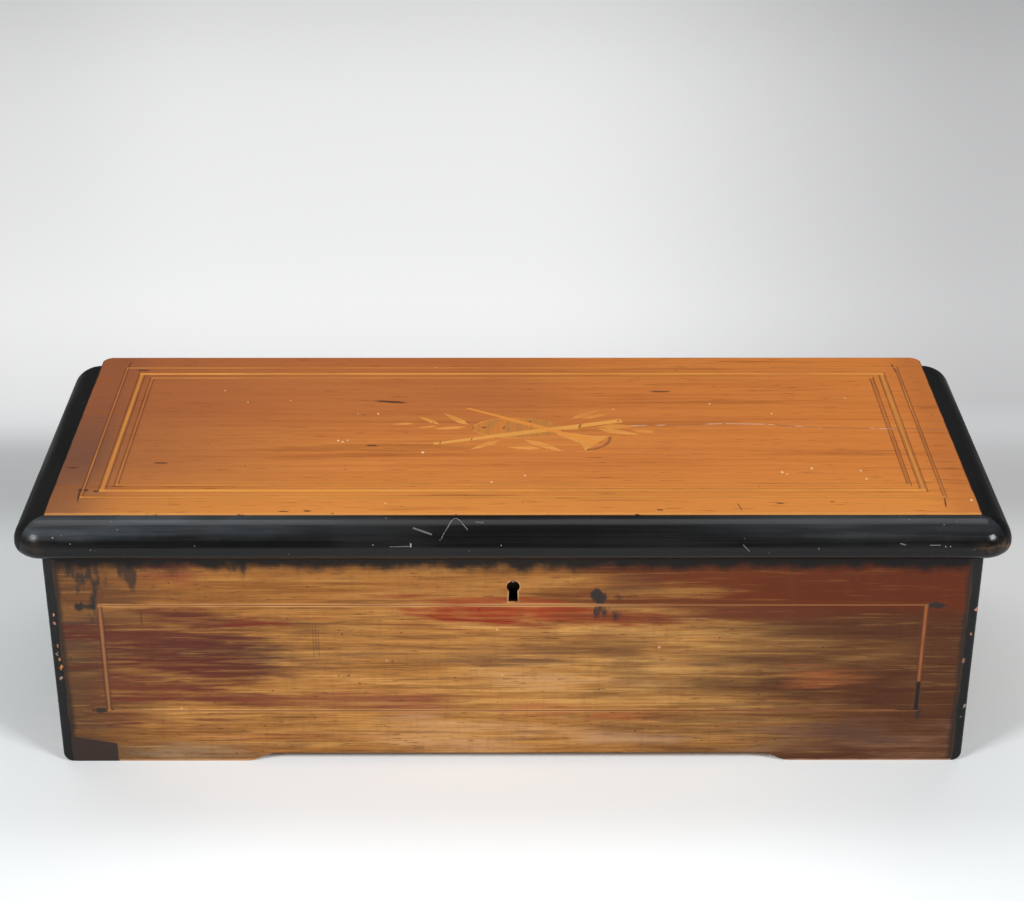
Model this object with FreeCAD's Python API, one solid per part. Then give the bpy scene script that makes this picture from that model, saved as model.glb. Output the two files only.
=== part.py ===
import FreeCAD, Part
import math
import os

# A cylinder musical box in a veneered case: lid with ebonised mouldings, glass lid, lever-wound movement.
# Millimetres. x runs along the case, y from the case's front face to the back, z up from the table.

# Case
CASE_W = 480.0
CASE_D = 192.0
CASE_H = 124.5
WALL_T = 12.0
VENEER_T = 1.0
LOWER_EDGE_R = 6.0
BASE_RISE = 6.0
BOTTOM_T = 10.0
CORNER_STRIP = 5.5
CORNER_STRIP_R = 1.5
CUTOUT_MID_X = 3.0
CUTOUT_HALF_W = 145.0
CUTOUT_END_W = 15.5
CUTOUT_H = 5.2
END_BAY_W = 42.0
PARTITION_T = 8.0
PARTITION_BELOW_RIM = 20.5
FRONT_STRING_SIDE_INSET = 26.0
FRONT_STRING_TOP_DROP = 27.0
FRONT_STRING_FOOT_H = 31.5
FRONT_STRING_H_W = 1.0
FRONT_STRING_V_W = 2.0

# Keyhole and lock
KEYHOLE_BELOW_RIM = 16.45
KEYHOLE_BULB_R = 3.35
KEYHOLE_NECK_W = 4.2
KEYHOLE_FOOT_W = 4.9
KEYHOLE_DROP = 8.85
KEYHOLE_LINER = 0.75
LOCK_HALF_W = 30.0
LOCK_T = 7.5
LOCK_H = 36.5
LOCK_PLATE_T = 1.2
SELVEDGE_HALF_W = 36.0
SELVEDGE_W = 9.0
SELVEDGE_T = 2.0
STAPLE_X = 16.0
STAPLE_T = 3.5
STAPLE_W = 4.0
STAPLE_LEG = 1.0
STAPLE_REACH = 12.0
STAPLE_FOOT = 1.5
STAPLE_EYE_H = 7.0
STAPLE_CLEARANCE = 0.6
LINK_PLATE_W = 8.0
LINK_PLATE_T = 1.5
BOLT_T = 1.6
BOLT_BAR_H = 5.8
BOLT_FINGER_W = 3.5
BOLT_PRONG_L = 4.5
BOLT_PRONG_H = 3.0
BOLT_PRONG_GAP = 0.75

# Lid
LID_SEAT_GAP = 0.3
LID_H = 24.0
LID_OVERHANG = 13.0
MOULDING_DROP = 0.4
NOSE_RISE = 5.15
NOSE_UNDER_R = 5.4
PANEL_INSET = 2.85
LEDGE_INSET = 11.0
LEDGE_H = 14.0
PANEL_CORNER_R = 6.0
LID_STRINGS = (
    # inset at the ends, inset at the front, inset at the back, width of the string
    (15.0, 18.1, 13.6, 0.9),
    (23.9, 24.3, 20.8, 2.5),
    (31.2, 31.2, 27.2, 0.9),
)
CARD_HALF_W = 80.0
CARD_D = 100.0
CARD_T = 0.8

# Lid hinges
HINGE_X = 150.0
HINGE_L = 50.0
HINGE_LEAF_W = 10.0
HINGE_LEAF_T = 1.5
KNUCKLE_R = 2.5
KNUCKLE_GAP = 0.2
KNUCKLES = 3
HINGE_PIN_R = 1.2
HINGE_SET_BACK = 2.9

# Inner glass lid
GLASS_FRAME_T = 10.0
GLASS_RAIL_W = 16.0
GLASS_FRONT_GAP = 2.0
GLASS_BACK_GAP = 1.0
PANE_T = 2.5
PANE_TONGUE = 4.0
GLASS_PIN_R = 2.0
GLASS_PIN_L = 8.0
GLASS_PIVOT_T = 8.0
GLASS_PIVOT_GAP = 0.4
GLASS_KNOB_R = 4.5
GLASS_KNOB_H = 8.0
GLASS_KNOB_HEAD_H = 4.0
GLASS_KNOB_STEM_R = 2.7
GLASS_KNOB_EASE = 0.8
PARTITION_BACK_DROP = 1.0

# Movement: bedplate
BED_FRONT_GAP = 5.0
BED_BACK_GAP = 6.0
BED_LEFT_GAP = 6.0
BED_RIGHT_GAP = 8.0
BED_RISE = 10.0
BED_T = 8.0
BED_FOOT_W = 16.0
BED_SLOT_GAP = 2.0
RADIAL_ROOM = 0.8
RUNNING_FIT = 0.05

# Movement: cylinder, comb and bridges
CYLINDER_R = 27.0
CYLINDER_WALL = 1.2
CYLINDER_BED_GAP = 7.0
CYLINDER_AXIS_IN = 100.0
CAP_T = 4.0
ARBOR_R = 4.0
TUNE_SHIFT = 2.1
BRIDGE_T = 8.0
BRIDGE_HEAD_R = 8.0
BRIDGE_HALF_W = 13.0
FLANGE_T = 4.0
FLANGE_W = 12.0
BRIDGE_SLEEVE_GAP = 10.0
PIN_H = 0.9
PIN_TIP_GAP = 0.2
COMB_T = 2.5
COMB_DROP = 1.0
COMB_FRONT_IN = 8.0
COMB_BASE_W = 28.0
COMB_BASE_FOOT = 6.0
COMB_TEETH_PITCH = 3.7
COMB_SLOT_W = 0.7
COMB_TOOTH_BASS = 34.0
COMB_TOOTH_TREBLE = 22.0

# Movement: spring barrel and winding
DRUM_R = 27.0
DRUM_WALL = 2.0
DRUM_END_T = 3.0
DRUM_L = 45.0
DRUM_BED_GAP = 3.0
BARREL_WHEEL_T = 5.0
BARREL_CORE_R = 7.0
SPRING_TURNS = 5
SPRING_STEPS = 12
SPRING_STRIP_T = 1.0
SPRING_GAP = 0.6
BRACKET_T = 5.0
BRACKET_HEAD_R = 8.0
BRACKET_HALF_W = 14.0
RATCHET_T = 3.5
RATCHET_TEETH = 20
RATCHET_TIP_R = 14.0
RATCHET_ROOT_R = 11.8
RATCHET_GAP = 1.0
CLICK_NOSE_GAP = 0.3
CLICK_PIVOT_OUT = 21.0
CLICK_PIVOT_AT = math.radians(58.0)
CLICK_BOSS_R = 3.5
LEVER_HUB_R = 12.0
LEVER_HUB_T = 12.0
LEVER_PARTITION_GAP = 10.0
LEVER_ARM_T = 5.0
LEVER_ARM_L = 42.0
LEVER_ARM_ROOT_W = 12.0
LEVER_ARM_TIP_W = 7.0
LEVER_LENGTH = 64.0
LEVER_REST = math.radians(135.0)
GRIP_R = 6.5
GRIP_COLLAR_R = 5.0
GRIP_COLLAR_L = 5.0
GRIP_EASE = 1.0
GRIP_START = 30.0

# Movement: gears, each as teeth and module
PRESSURE = math.radians(20.0)
ADDENDUM = 0.85
DEDENDUM = 1.2
TOOTH_SHARE = 0.43
BARREL_WHEEL = (48, 1.5)
CYLINDER_PINION = (16, 1.5)
CYLINDER_WHEEL = (70, 0.9)
FIRST_PINION = (10, 0.9)
FIRST_WHEEL = (50, 0.6)
SECOND_PINION = (10, 0.6)
WORM_WHEEL = (24, 0.75)
CYLINDER_PINION_T = 7.0
CYLINDER_WHEEL_T = 4.0
CYLINDER_WHEEL_GAP = 6.0
DRIVE_PIN_R = 1.5
DRIVE_PIN_OUT = 20.0
SNAIL_STEPS = 8
SNAIL_STUD_OUT = 15.0
SNAIL_R = 9.0
SNAIL_TOOTH_R = 12.0
SNAIL_T = 0.9
SNAIL_STEP = 0.25

# Movement: governor
FIRST_DROP = 18.0
SECOND_RISE = math.radians(44.6)
GOVERNOR_ARBOR_R = 1.5
FIRST_PINION_T = 6.5
FIRST_WHEEL_T = 2.5
WORM_WHEEL_T = 3.0
COCK_T = 3.0
COCK_SPAN = 15.5
COCK_TOP = 40.0
COCK_HALF_W = 16.0
COCK_TOP_HALF_W = 6.0
WORM_PITCH_R = 2.5
WORM_CORE_R = 1.5
WORM_HALF_L = 6.0
SPINDLE_R = 1.2
PIVOT_R = 0.8
PIVOT_L = 2.0
FAN_R = 14.5
FAN_FOOT = 44.0
FAN_H = 18.0
FAN_BLADE_T = 0.6
FAN_HUB_R = 3.0
FAN_HUB_H = 6.0
TOP_COCK_T = 3.0
TOP_COCK_W = 5.0
TOP_COCK_GAP = 2.0

# Movement: control levers
LEVER_PIN_R = 2.0
CONTROL_HUB_R = 6.0
CONTROL_T = 4.0
CONTROL_RISE = 34.0
CONTROL_L = 60.0
CONTROL_W = 6.0
CONTROL_TAB_R = 5.5
CONTROL_LEAN = math.radians(10.0)
CONTROL_BRACKET_GAP = 2.5
CONTROL_BRACKET_T = 2.5
CONTROL_BRACKET_HALF_W = 9.0
CONTROL_ROD_R = 1.5
CONTROL_SLOT_GAP = 1.2
STOP_ROD_OUT = 37.0
STOP_PIVOT_AHEAD = 11.1
STOP_ROD_FAN_GAP = 8.5
CHANGE_ROD_OUT = 26.0
CHANGE_AXIS_BEHIND = 38.0
CHANGE_FINGER_L = 8.0
CHANGE_FINGER_T = 1.6

# Lid marquetry: crossed pipe and horn over a lute, with leaf sprigs
PIPE_ENDS = ((-42.5, 81.5), (60.0, 109.5))
PIPE_R = 1.7
HORN_SPINE = ((-25.0, 125.0), (10.6, 104.5), (28.6, 92.5), (39.5, 86.5), (45.5, 82.0))
HORN_HALF_W = (0.9, 1.6, 2.6, 5.5, 11.0)
LUTE_CENTRE = (2.0, 100.5)
LUTE_HALF = (24.0, 12.5)
LUTE_CORNERS = 20
LUTE_NECK_L = 11.0
LUTE_NECK_R = 2.2
LEAVES = (
    # root, tip
    ((-24.0, 104.0), (-38.0, 119.0)),
    ((-25.0, 102.0), (-43.5, 99.0)),
    ((-40.0, 105.0), (-52.0, 115.0)),
    ((-41.0, 103.0), (-52.0, 100.5)),
    ((-54.0, 106.0), (-66.0, 105.0)),
    ((32.0, 111.5), (48.5, 123.0)),
    ((38.0, 112.0), (54.0, 118.5)),
    ((46.0, 102.0), (69.0, 102.5)),
    ((46.0, 99.5), (69.0, 92.0)),
    ((64.0, 98.0), (80.0, 95.0)),
    ((-7.0, 85.5), (-23.0, 74.5)),
    ((6.0, 86.5), (27.0, 72.5)),
    ((15.0, 76.0), (-3.0, 77.5)),
)
LEAF_FULLNESS = 0.11

# Places worked out from the sizes above
V = FreeCAD.Vector
X_AXIS = V(1, 0, 0)
Z_AXIS = V(0, 0, 1)
HALF_W = CASE_W / 2
INNER_HALF_W = HALF_W - WALL_T
FRONT_IN = WALL_T
BACK_IN = CASE_D - WALL_T
FLOOR_Z = BASE_RISE + BOTTOM_T
PARTITION_OUT_X = INNER_HALF_W - END_BAY_W
PARTITION_IN_X = PARTITION_OUT_X - PARTITION_T
PARTITION_TOP = CASE_H - PARTITION_BELOW_RIM
LID_Z = CASE_H + LID_SEAT_GAP
LID_TOP = LID_Z + LID_H
MOULDING_W = LID_OVERHANG + PANEL_INSET
NOSE_H = NOSE_RISE + NOSE_UNDER_R
MOULDING_R = LID_H - MOULDING_DROP - NOSE_H
HINGE_Y = CASE_D + HINGE_SET_BACK
HINGE_Z = CASE_H + LID_SEAT_GAP / 2
MID_Y = (HINGE_Y + KNUCKLE_R - LID_OVERHANG) / 2
KEYHOLE_Z = CASE_H - KEYHOLE_BELOW_RIM
LOCK_FRONT_Y = WALL_T - LOCK_T
LOCK_FLOOR_Z = CASE_H - LOCK_H
STAPLE_Y = WALL_T - LOCK_PLATE_T - STAPLE_LEG / 3 - STAPLE_W / 2
STAPLE_Z = LID_Z - STAPLE_REACH

BED_X0 = -PARTITION_IN_X + BED_LEFT_GAP
BED_X1 = PARTITION_IN_X - BED_RIGHT_GAP
BED_Y0 = FRONT_IN + BED_FRONT_GAP
BED_Y1 = BACK_IN - BED_BACK_GAP
BED_Z = FLOOR_Z + BED_RISE
BED_TOP = BED_Z + BED_T


def centre_distance(wheel, pinion):
    """Distance between the axes of two gears of one module."""
    return (wheel[0] + pinion[0]) * wheel[1] / 2


def pitch_radius(gear):
    return gear[0] * gear[1] / 2


def tip_radius(gear):
    return pitch_radius(gear) + ADDENDUM * gear[1]


CYLINDER_Y = FRONT_IN + CYLINDER_AXIS_IN
CYLINDER_Z = BED_TOP + CYLINDER_R + CYLINDER_BED_GAP
BARREL_Z = BED_TOP + DRUM_R + DRUM_BED_GAP
BARREL_TO_CYLINDER = centre_distance(BARREL_WHEEL, CYLINDER_PINION)
BARREL_Y = CYLINDER_Y - math.sqrt(BARREL_TO_CYLINDER ** 2 - (CYLINDER_Z - BARREL_Z) ** 2)

BRACKET_LEFT_X = BED_X0
RATCHET_X = BRACKET_LEFT_X + BRACKET_T + RATCHET_GAP
DRUM_X = RATCHET_X + RATCHET_T + RATCHET_GAP
BARREL_WHEEL_X = DRUM_X + DRUM_L
BRACKET_RIGHT_X = BARREL_WHEEL_X + BARREL_WHEEL_T + CYLINDER_PINION_T / 2
CYLINDER_PINION_X = BARREL_WHEEL_X + (BARREL_WHEEL_T - CYLINDER_PINION_T) / 2
BRIDGE_LEFT_X = BRACKET_RIGHT_X + 2 * BRACKET_T
SLEEVE_X0 = BRIDGE_LEFT_X + BRIDGE_T + BRIDGE_SLEEVE_GAP
GOVERNOR_X = BED_X1 - 2 * COCK_T - COCK_SPAN - FAN_R / 2
CYLINDER_WHEEL_X = GOVERNOR_X - CYLINDER_WHEEL_T - COCK_T
SLEEVE_X1 = CYLINDER_WHEEL_X - CYLINDER_WHEEL_GAP
BRIDGE_RIGHT_X = CYLINDER_WHEEL_X + CYLINDER_WHEEL_T + BRIDGE_T
ARBOR_X0 = CYLINDER_PINION_X - 1.0
ARBOR_X1 = BRIDGE_RIGHT_X + BRIDGE_T + 2.0

COMB_TOP = CYLINDER_Z - COMB_DROP
COMB_Z = COMB_TOP - COMB_T
COMB_Y0 = FRONT_IN + COMB_FRONT_IN
COMB_TIP_Y = CYLINDER_Y - CYLINDER_R - PIN_H - PIN_TIP_GAP

FIRST_Z = CYLINDER_Z - FIRST_DROP
FIRST_Y = CYLINDER_Y - math.sqrt(centre_distance(CYLINDER_WHEEL, FIRST_PINION) ** 2 - FIRST_DROP ** 2)
SECOND_Y = FIRST_Y - centre_distance(FIRST_WHEEL, SECOND_PINION) * math.cos(SECOND_RISE)
SECOND_Z = FIRST_Z + centre_distance(FIRST_WHEEL, SECOND_PINION) * math.sin(SECOND_RISE)
SPINDLE_Y = SECOND_Y + pitch_radius(WORM_WHEEL) + WORM_PITCH_R
COCK_RIGHT_X = GOVERNOR_X + COCK_T + COCK_SPAN
FIRST_WHEEL_X = GOVERNOR_X + COCK_T + 1.5
WORM_WHEEL_X = COCK_RIGHT_X - 4.0 - WORM_WHEEL_T
SPINDLE_X = WORM_WHEEL_X + WORM_WHEEL_T / 2
STEP_TOP = FIRST_Z + GOVERNOR_ARBOR_R + 3.0
FAN_Z = BED_TOP + FAN_FOOT
TOP_COCK_Z = FAN_Z + FAN_H + TOP_COCK_GAP

CONTROL_X = (PARTITION_OUT_X + INNER_HALF_W - CONTROL_T) / 2
CONTROL_Z = FLOOR_Z + CONTROL_RISE
START_Y = SPINDLE_Y - STOP_PIVOT_AHEAD
CHANGE_Y = CYLINDER_Y + CHANGE_AXIS_BEHIND
CHANGE_FINGER_X = CYLINDER_WHEEL_X - (CYLINDER_WHEEL_GAP - TUNE_SHIFT + CHANGE_FINGER_T) / 2


def box(x0, x1, y0, y1, z0, z1):
    return Part.makeBox(x1 - x0, y1 - y0, z1 - z0, V(x0, y0, z0))


def rod_x(y, z, radius, x0, x1):
    return Part.makeCylinder(radius, x1 - x0, V(x0, y, z), X_AXIS)


def rod_y(x, z, radius, y0, y1):
    return Part.makeCylinder(radius, y1 - y0, V(x, y0, z), V(0, 1, 0))


def rod_z(x, y, radius, z0, z1):
    return Part.makeCylinder(radius, z1 - z0, V(x, y, z0), Z_AXIS)


def prism(points, travel):
    """Closed outline through the points, swept straight along travel."""
    return Part.Face(Part.makePolygon(points + points[:1])).extrude(travel)


def prism_x(outline, x0, x1):
    return prism([V(x0, y, z) for y, z in outline], V(x1 - x0, 0, 0))


def prism_y(outline, y0, y1):
    return prism([V(x, y0, z) for x, z in outline], V(0, y1 - y0, 0))


def prism_z(outline, z0, z1):
    return prism([V(x, y, z0) for x, y in outline], V(0, 0, z1 - z0))


def joined(first, *others):
    return first.fuse(list(others)).removeSplitter()


def polar(y, z, radius, angle):
    return (y + radius * math.cos(angle), z + radius * math.sin(angle))


def turned(shape, y, z, angle):
    """The shape turned about an axis along x."""
    copy = shape.copy()
    copy.rotate(V(0, y, z), X_AXIS, math.degrees(angle))
    return copy


def save(name, *solids):
    """Write one node, moved so that the origin is under the middle of the whole box."""
    shape = solids[0] if len(solids) == 1 else Part.makeCompound(list(solids))
    shape = shape.copy()
    shape.translate(V(0, -MID_Y, 0))
    shape.exportStep(f"parts/{name}.step")


# Case
def case_envelope():
    """Outline of the case from the front, with its lower edges eased, over the whole depth."""
    block = box(-HALF_W, HALF_W, 0, CASE_D, 0, CASE_H)
    lower_edges = [e for e in block.Edges if abs(e.CenterOfMass.z) < 0.01 and abs(e.CenterOfMass.x) > 1]
    return block.makeFillet(LOWER_EDGE_R, lower_edges)


def keyhole(margin, y0, y1):
    """Keyhole-shaped plug, wider all round by the margin."""
    neck = KEYHOLE_NECK_W / 2 + margin
    foot = KEYHOLE_FOOT_W / 2 + margin
    foot_z = KEYHOLE_Z - KEYHOLE_DROP - margin
    slot = prism_y([(-neck, KEYHOLE_Z), (-foot, foot_z), (foot, foot_z), (neck, KEYHOLE_Z)], y0, y1)
    return joined(rod_y(0, KEYHOLE_Z, KEYHOLE_BULB_R + margin, y0, y1), slot)


def foot_cutout():
    """Shallow arch under the front, with ogee ends."""
    half = CUTOUT_HALF_W
    flat = half - CUTOUT_END_W
    x_turn = half - CUTOUT_END_W / 2
    rise = CUTOUT_H / 2
    bow = CUTOUT_H / 6
    edges = []
    for side in (-1, 1):
        foot = V(CUTOUT_MID_X + side * half, 0, 0)
        turn = V(CUTOUT_MID_X + side * x_turn, 0, rise)
        top = V(CUTOUT_MID_X + side * flat, 0, CUTOUT_H)
        low_mid = (foot + turn) * 0.5 - V(0, 0, bow / 2)
        high_mid = (turn + top) * 0.5 + V(0, 0, bow / 2)
        edges.append(Part.Arc(foot, low_mid, turn).toShape())
        edges.append(Part.Arc(turn, high_mid, top).toShape())
    left_foot = V(CUTOUT_MID_X - half, 0, 0)
    right_foot = V(CUTOUT_MID_X + half, 0, 0)
    edges.append(Part.makeLine(left_foot, right_foot))
    edges.append(Part.makeLine(V(CUTOUT_MID_X - flat, 0, CUTOUT_H), V(CUTOUT_MID_X + flat, 0, CUTOUT_H)))
    wire = Part.Wire(Part.__sortEdges__(edges))
    return Part.Face(wire).extrude(V(0, WALL_T, 0))


def corner_strip(side):
    """Square strip let into a front corner, its outer edge softened."""
    x = side * HALF_W
    strip = box(min(x, x - side * CORNER_STRIP), max(x, x - side * CORNER_STRIP), 0, CORNER_STRIP, 0, CASE_H)
    outer = [e for e in strip.Edges if abs(e.CenterOfMass.x - x) < 0.01 and abs(e.CenterOfMass.y) < 0.01]
    return strip.makeFillet(CORNER_STRIP_R, outer)


def corner_rebate(side):
    x = side * HALF_W
    return box(min(x, x - side * CORNER_STRIP), max(x, x - side * CORNER_STRIP), 0, CORNER_STRIP, 0, CASE_H)


def front_strings():
    """Four strips as thick as the veneer: two along, two upright between them."""
    x = HALF_W - FRONT_STRING_SIDE_INSET
    z0 = FRONT_STRING_FOOT_H
    z1 = CASE_H - FRONT_STRING_TOP_DROP
    strips = []
    for z in (z0, z1 - FRONT_STRING_H_W):
        strips.append(box(-x, x, 0, VENEER_T, z, z + FRONT_STRING_H_W))
    foot = z0 + FRONT_STRING_H_W
    head = z1 - FRONT_STRING_H_W
    for x_left in (-x, x - FRONT_STRING_V_W):
        strips.append(box(x_left, x_left + FRONT_STRING_V_W, 0, VENEER_T, foot, head))
    return strips


def make_case():
    envelope = case_envelope()
    strips = [corner_strip(side).common(envelope) for side in (-1, 1)]
    rebates = [corner_rebate(side) for side in (-1, 1)]
    plug = keyhole(KEYHOLE_LINER, 0, LOCK_FRONT_Y)
    mortise = box(-LOCK_HALF_W, LOCK_HALF_W, LOCK_FRONT_Y, WALL_T, LOCK_FLOOR_Z, CASE_H)
    ledge = lock_selvedge()
    arch = foot_cutout()

    panel = box(-HALF_W, HALF_W, VENEER_T, WALL_T, 0, CASE_H).common(envelope)
    save("front_panel", panel.cut([plug, mortise, ledge, arch] + rebates))
    veneer = box(-HALF_W, HALF_W, 0, VENEER_T, 0, CASE_H).common(envelope)
    save("front_veneer", *veneer.cut([plug, arch] + rebates + front_strings()).Solids)
    save("front_stringing", *front_strings())
    save("corner_strips", *strips)
    save("keyhole_escutcheon", plug.cut(keyhole(0, 0, LOCK_FRONT_Y)))

    leaf_pockets = [hinge_leaf(x, CASE_H - HINGE_LEAF_T) for x in (-HINGE_X, HINGE_X)]
    back = box(-HALF_W, HALF_W, BACK_IN, CASE_D, 0, CASE_H).common(envelope)
    save("back_panel", back.cut(leaf_pockets))
    left = box(-HALF_W, -INNER_HALF_W, FRONT_IN, BACK_IN, 0, CASE_H)
    save("left_end_panel", left.common(envelope))
    right = box(INNER_HALF_W, HALF_W, FRONT_IN, BACK_IN, 0, CASE_H)
    save("right_end_panel", right.common(envelope))

    board = box(-INNER_HALF_W, INNER_HALF_W, FRONT_IN, BACK_IN, BASE_RISE, FLOOR_Z)
    save("bottom_board", board)


def partition(side):
    """Board between an end bay and the movement, stepped down under the glass lid's rounded back edge."""
    x0 = min(side * PARTITION_IN_X, side * PARTITION_OUT_X)
    x1 = x0 + PARTITION_T
    board = box(x0, x1, FRONT_IN, BACK_IN, FLOOR_Z, PARTITION_TOP)
    step_y = BACK_IN - GLASS_BACK_GAP - GLASS_RAIL_W
    return board.cut(box(x0, x1, step_y, BACK_IN, PARTITION_TOP - PARTITION_BACK_DROP, PARTITION_TOP))


def rod_slot(pivot_y, reach, swing):
    """Slot in the right partition for a lever's rod, with room for its whole swing."""
    margin = CONTROL_ROD_R + CONTROL_SLOT_GAP
    half = reach * math.sin(swing) + margin
    z0 = CONTROL_Z + reach * math.cos(swing) - margin
    z1 = CONTROL_Z + reach + margin
    return box(PARTITION_IN_X, PARTITION_OUT_X, pivot_y - half, pivot_y + half, z0, z1)


def make_partitions():
    arbor_hole = rod_x(BARREL_Y, BARREL_Z, ARBOR_R + 2.0, -PARTITION_OUT_X, -PARTITION_IN_X)
    save("left_partition", partition(-1).cut(arbor_hole))
    slots = [rod_slot(START_Y, STOP_ROD_OUT, CONTROL_LEAN), rod_slot(CHANGE_Y, CHANGE_ROD_OUT, CONTROL_LEAN)]
    save("right_partition", partition(1).cut(slots))


# Lock
def staple(x):
    """Head, legs and foot of a loop under the link plate; the bolt's prong passes through it along x."""
    x0 = x - STAPLE_T / 2
    x1 = x0 + STAPLE_T
    y0 = STAPLE_Y - STAPLE_W / 2
    y1 = y0 + STAPLE_W
    eye_z0 = STAPLE_Z + STAPLE_FOOT
    eye_z1 = eye_z0 + STAPLE_EYE_H
    return [
        box(x0, x1, y0, y1, eye_z1, LID_Z),
        box(x0, x1, y0, y0 + STAPLE_LEG, eye_z0, eye_z1),
        box(x0, x1, y1 - STAPLE_LEG, y1, eye_z0, eye_z1),
        box(x0, x1, y0, y1, STAPLE_Z, eye_z0),
    ]


def lock_selvedge():
    """Flat strip of the lock, let into the top edge of the front."""
    y0 = WALL_T - SELVEDGE_W
    return box(-SELVEDGE_HALF_W, SELVEDGE_HALF_W, y0, WALL_T, CASE_H - SELVEDGE_T, CASE_H)


def link_plate():
    y0 = WALL_T - SELVEDGE_W
    return box(-SELVEDGE_HALF_W, SELVEDGE_HALF_W, y0, y0 + LINK_PLATE_W, LID_Z, LID_Z + LINK_PLATE_T)


def make_lock():
    body = box(-LOCK_HALF_W, LOCK_HALF_W, LOCK_FRONT_Y, WALL_T, LOCK_FLOOR_Z, CASE_H - SELVEDGE_T)
    selvedge = lock_selvedge()
    inner_half = LOCK_HALF_W - LOCK_PLATE_T
    cavity_y0 = LOCK_FRONT_Y + LOCK_PLATE_T
    cavity_y1 = WALL_T - LOCK_PLATE_T
    cavity_z0 = LOCK_FLOOR_Z + LOCK_PLATE_T
    cavity = box(-inner_half, inner_half, cavity_y0, cavity_y1, cavity_z0, CASE_H - SELVEDGE_T)
    slot_half = STAPLE_T / 2 + STAPLE_CLEARANCE
    slots = []
    for x in (-STAPLE_X, STAPLE_X):
        slots.append(box(x - slot_half, x + slot_half, cavity_y0, cavity_y1, CASE_H - SELVEDGE_T, CASE_H))
    key_way = keyhole(0, LOCK_FRONT_Y, cavity_y0)
    save("lock_case", joined(body, selvedge).cut([cavity, key_way] + slots))

    y0 = STAPLE_Y - BOLT_T / 2
    y1 = y0 + BOLT_T
    bar_top = cavity_z0 + BOLT_BAR_H
    prong_z = STAPLE_Z + STAPLE_FOOT + (STAPLE_EYE_H - BOLT_PRONG_H) / 2
    fingers = []
    for x in (-STAPLE_X, STAPLE_X):
        tip = x - STAPLE_T / 2 - BOLT_PRONG_GAP
        root = tip - BOLT_PRONG_L
        fingers.append(box(root - BOLT_FINGER_W, root, y0, y1, bar_top, prong_z + BOLT_PRONG_H))
        fingers.append(box(root, tip, y0, y1, prong_z, prong_z + BOLT_PRONG_H))
    bar_x0 = fingers[0].BoundBox.XMin
    bar_x1 = fingers[2].BoundBox.XMax
    bar = box(bar_x0, bar_x1, y0, y1, cavity_z0, bar_top)
    save("lock_bolt", bar, *fingers)
    save("lock_link_plate", link_plate(), *staple(-STAPLE_X), *staple(STAPLE_X))


# Lid
def moulding_section(place):
    """Quarter round over a smaller one, over a rim level with the case; place turns (outward, up) into a point."""
    lower_x = LID_OVERHANG - NOSE_UNDER_R
    upper_x = LID_OVERHANG - MOULDING_R
    diagonal = math.sqrt(0.5)
    inner_foot = place(-PANEL_INSET, 0)
    inner_top = place(-PANEL_INSET, LID_H - MOULDING_DROP)
    crest = place(upper_x, LID_H - MOULDING_DROP)
    nose = place(LID_OVERHANG, NOSE_H)
    under = place(lower_x, NOSE_RISE)
    rim_top = place(0, NOSE_RISE)
    rim_foot = place(0, 0)
    lower_mid = place(lower_x + NOSE_UNDER_R * diagonal, NOSE_H - NOSE_UNDER_R * diagonal)
    upper_mid = place(upper_x + MOULDING_R * diagonal, NOSE_H + MOULDING_R * diagonal)
    edges = [
        Part.makeLine(inner_foot, rim_foot),
        Part.makeLine(rim_foot, rim_top),
        Part.makeLine(rim_top, under),
        Part.Arc(under, lower_mid, nose).toShape(),
        Part.Arc(nose, upper_mid, crest).toShape(),
        Part.makeLine(crest, inner_top),
        Part.makeLine(inner_top, inner_foot),
    ]
    return Part.Face(Part.Wire(edges))


def moulding_front():
    x = HALF_W - PANEL_INSET
    section = moulding_section(lambda out, up: V(-x, -out, LID_Z + up))
    parts = [section.extrude(V(2 * x, 0, 0)), section.revolve(V(-x, PANEL_INSET, 0), Z_AXIS, -45)]
    right = moulding_section(lambda out, up: V(x, -out, LID_Z + up))
    parts.append(right.revolve(V(x, PANEL_INSET, 0), Z_AXIS, 45))
    inner = HALF_W - LEDGE_INSET
    plan = [(-x, PANEL_INSET), (x, PANEL_INSET), (inner, LEDGE_INSET), (-inner, LEDGE_INSET)]
    ledge = prism_z(plan, LID_Z, LID_Z + LEDGE_H)
    return joined(ledge, *parts).cut(link_plate())


def moulding_side(side):
    """Side moulding from the front mitre to a back end that is rounded in plan."""
    x = side * (HALF_W - PANEL_INSET)
    end_y = CASE_D - MOULDING_W
    section = moulding_section(lambda out, up: V(side * (HALF_W + out), PANEL_INSET, LID_Z + up))
    straight = section.extrude(V(0, end_y - PANEL_INSET, 0))
    corner = section.revolve(V(x, PANEL_INSET, 0), Z_AXIS, -45 * side)
    end_section = moulding_section(lambda out, up: V(side * (HALF_W + out), end_y, LID_Z + up))
    rounded_end = end_section.revolve(V(x, end_y, 0), Z_AXIS, 90 * side)
    inner = side * (HALF_W - LEDGE_INSET)
    plan = [(x, PANEL_INSET), (inner, LEDGE_INSET), (inner, CASE_D), (x, CASE_D)]
    return joined(prism_z(plan, LID_Z, LID_Z + LEDGE_H), straight, corner, rounded_end)


def lid_board(z0, z1):
    """Lid board over the mouldings' ledges, its back corners rounded."""
    x = HALF_W - PANEL_INSET
    board = box(-x, x, PANEL_INSET, CASE_D, z0, z1)
    upright = [e for e in board.Edges if abs(e.CenterOfMass.z - (z0 + z1) / 2) < 0.01]
    back = [e for e in upright if abs(e.CenterOfMass.y - CASE_D) < 0.01]
    return board.makeFillet(PANEL_CORNER_R, back)


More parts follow.
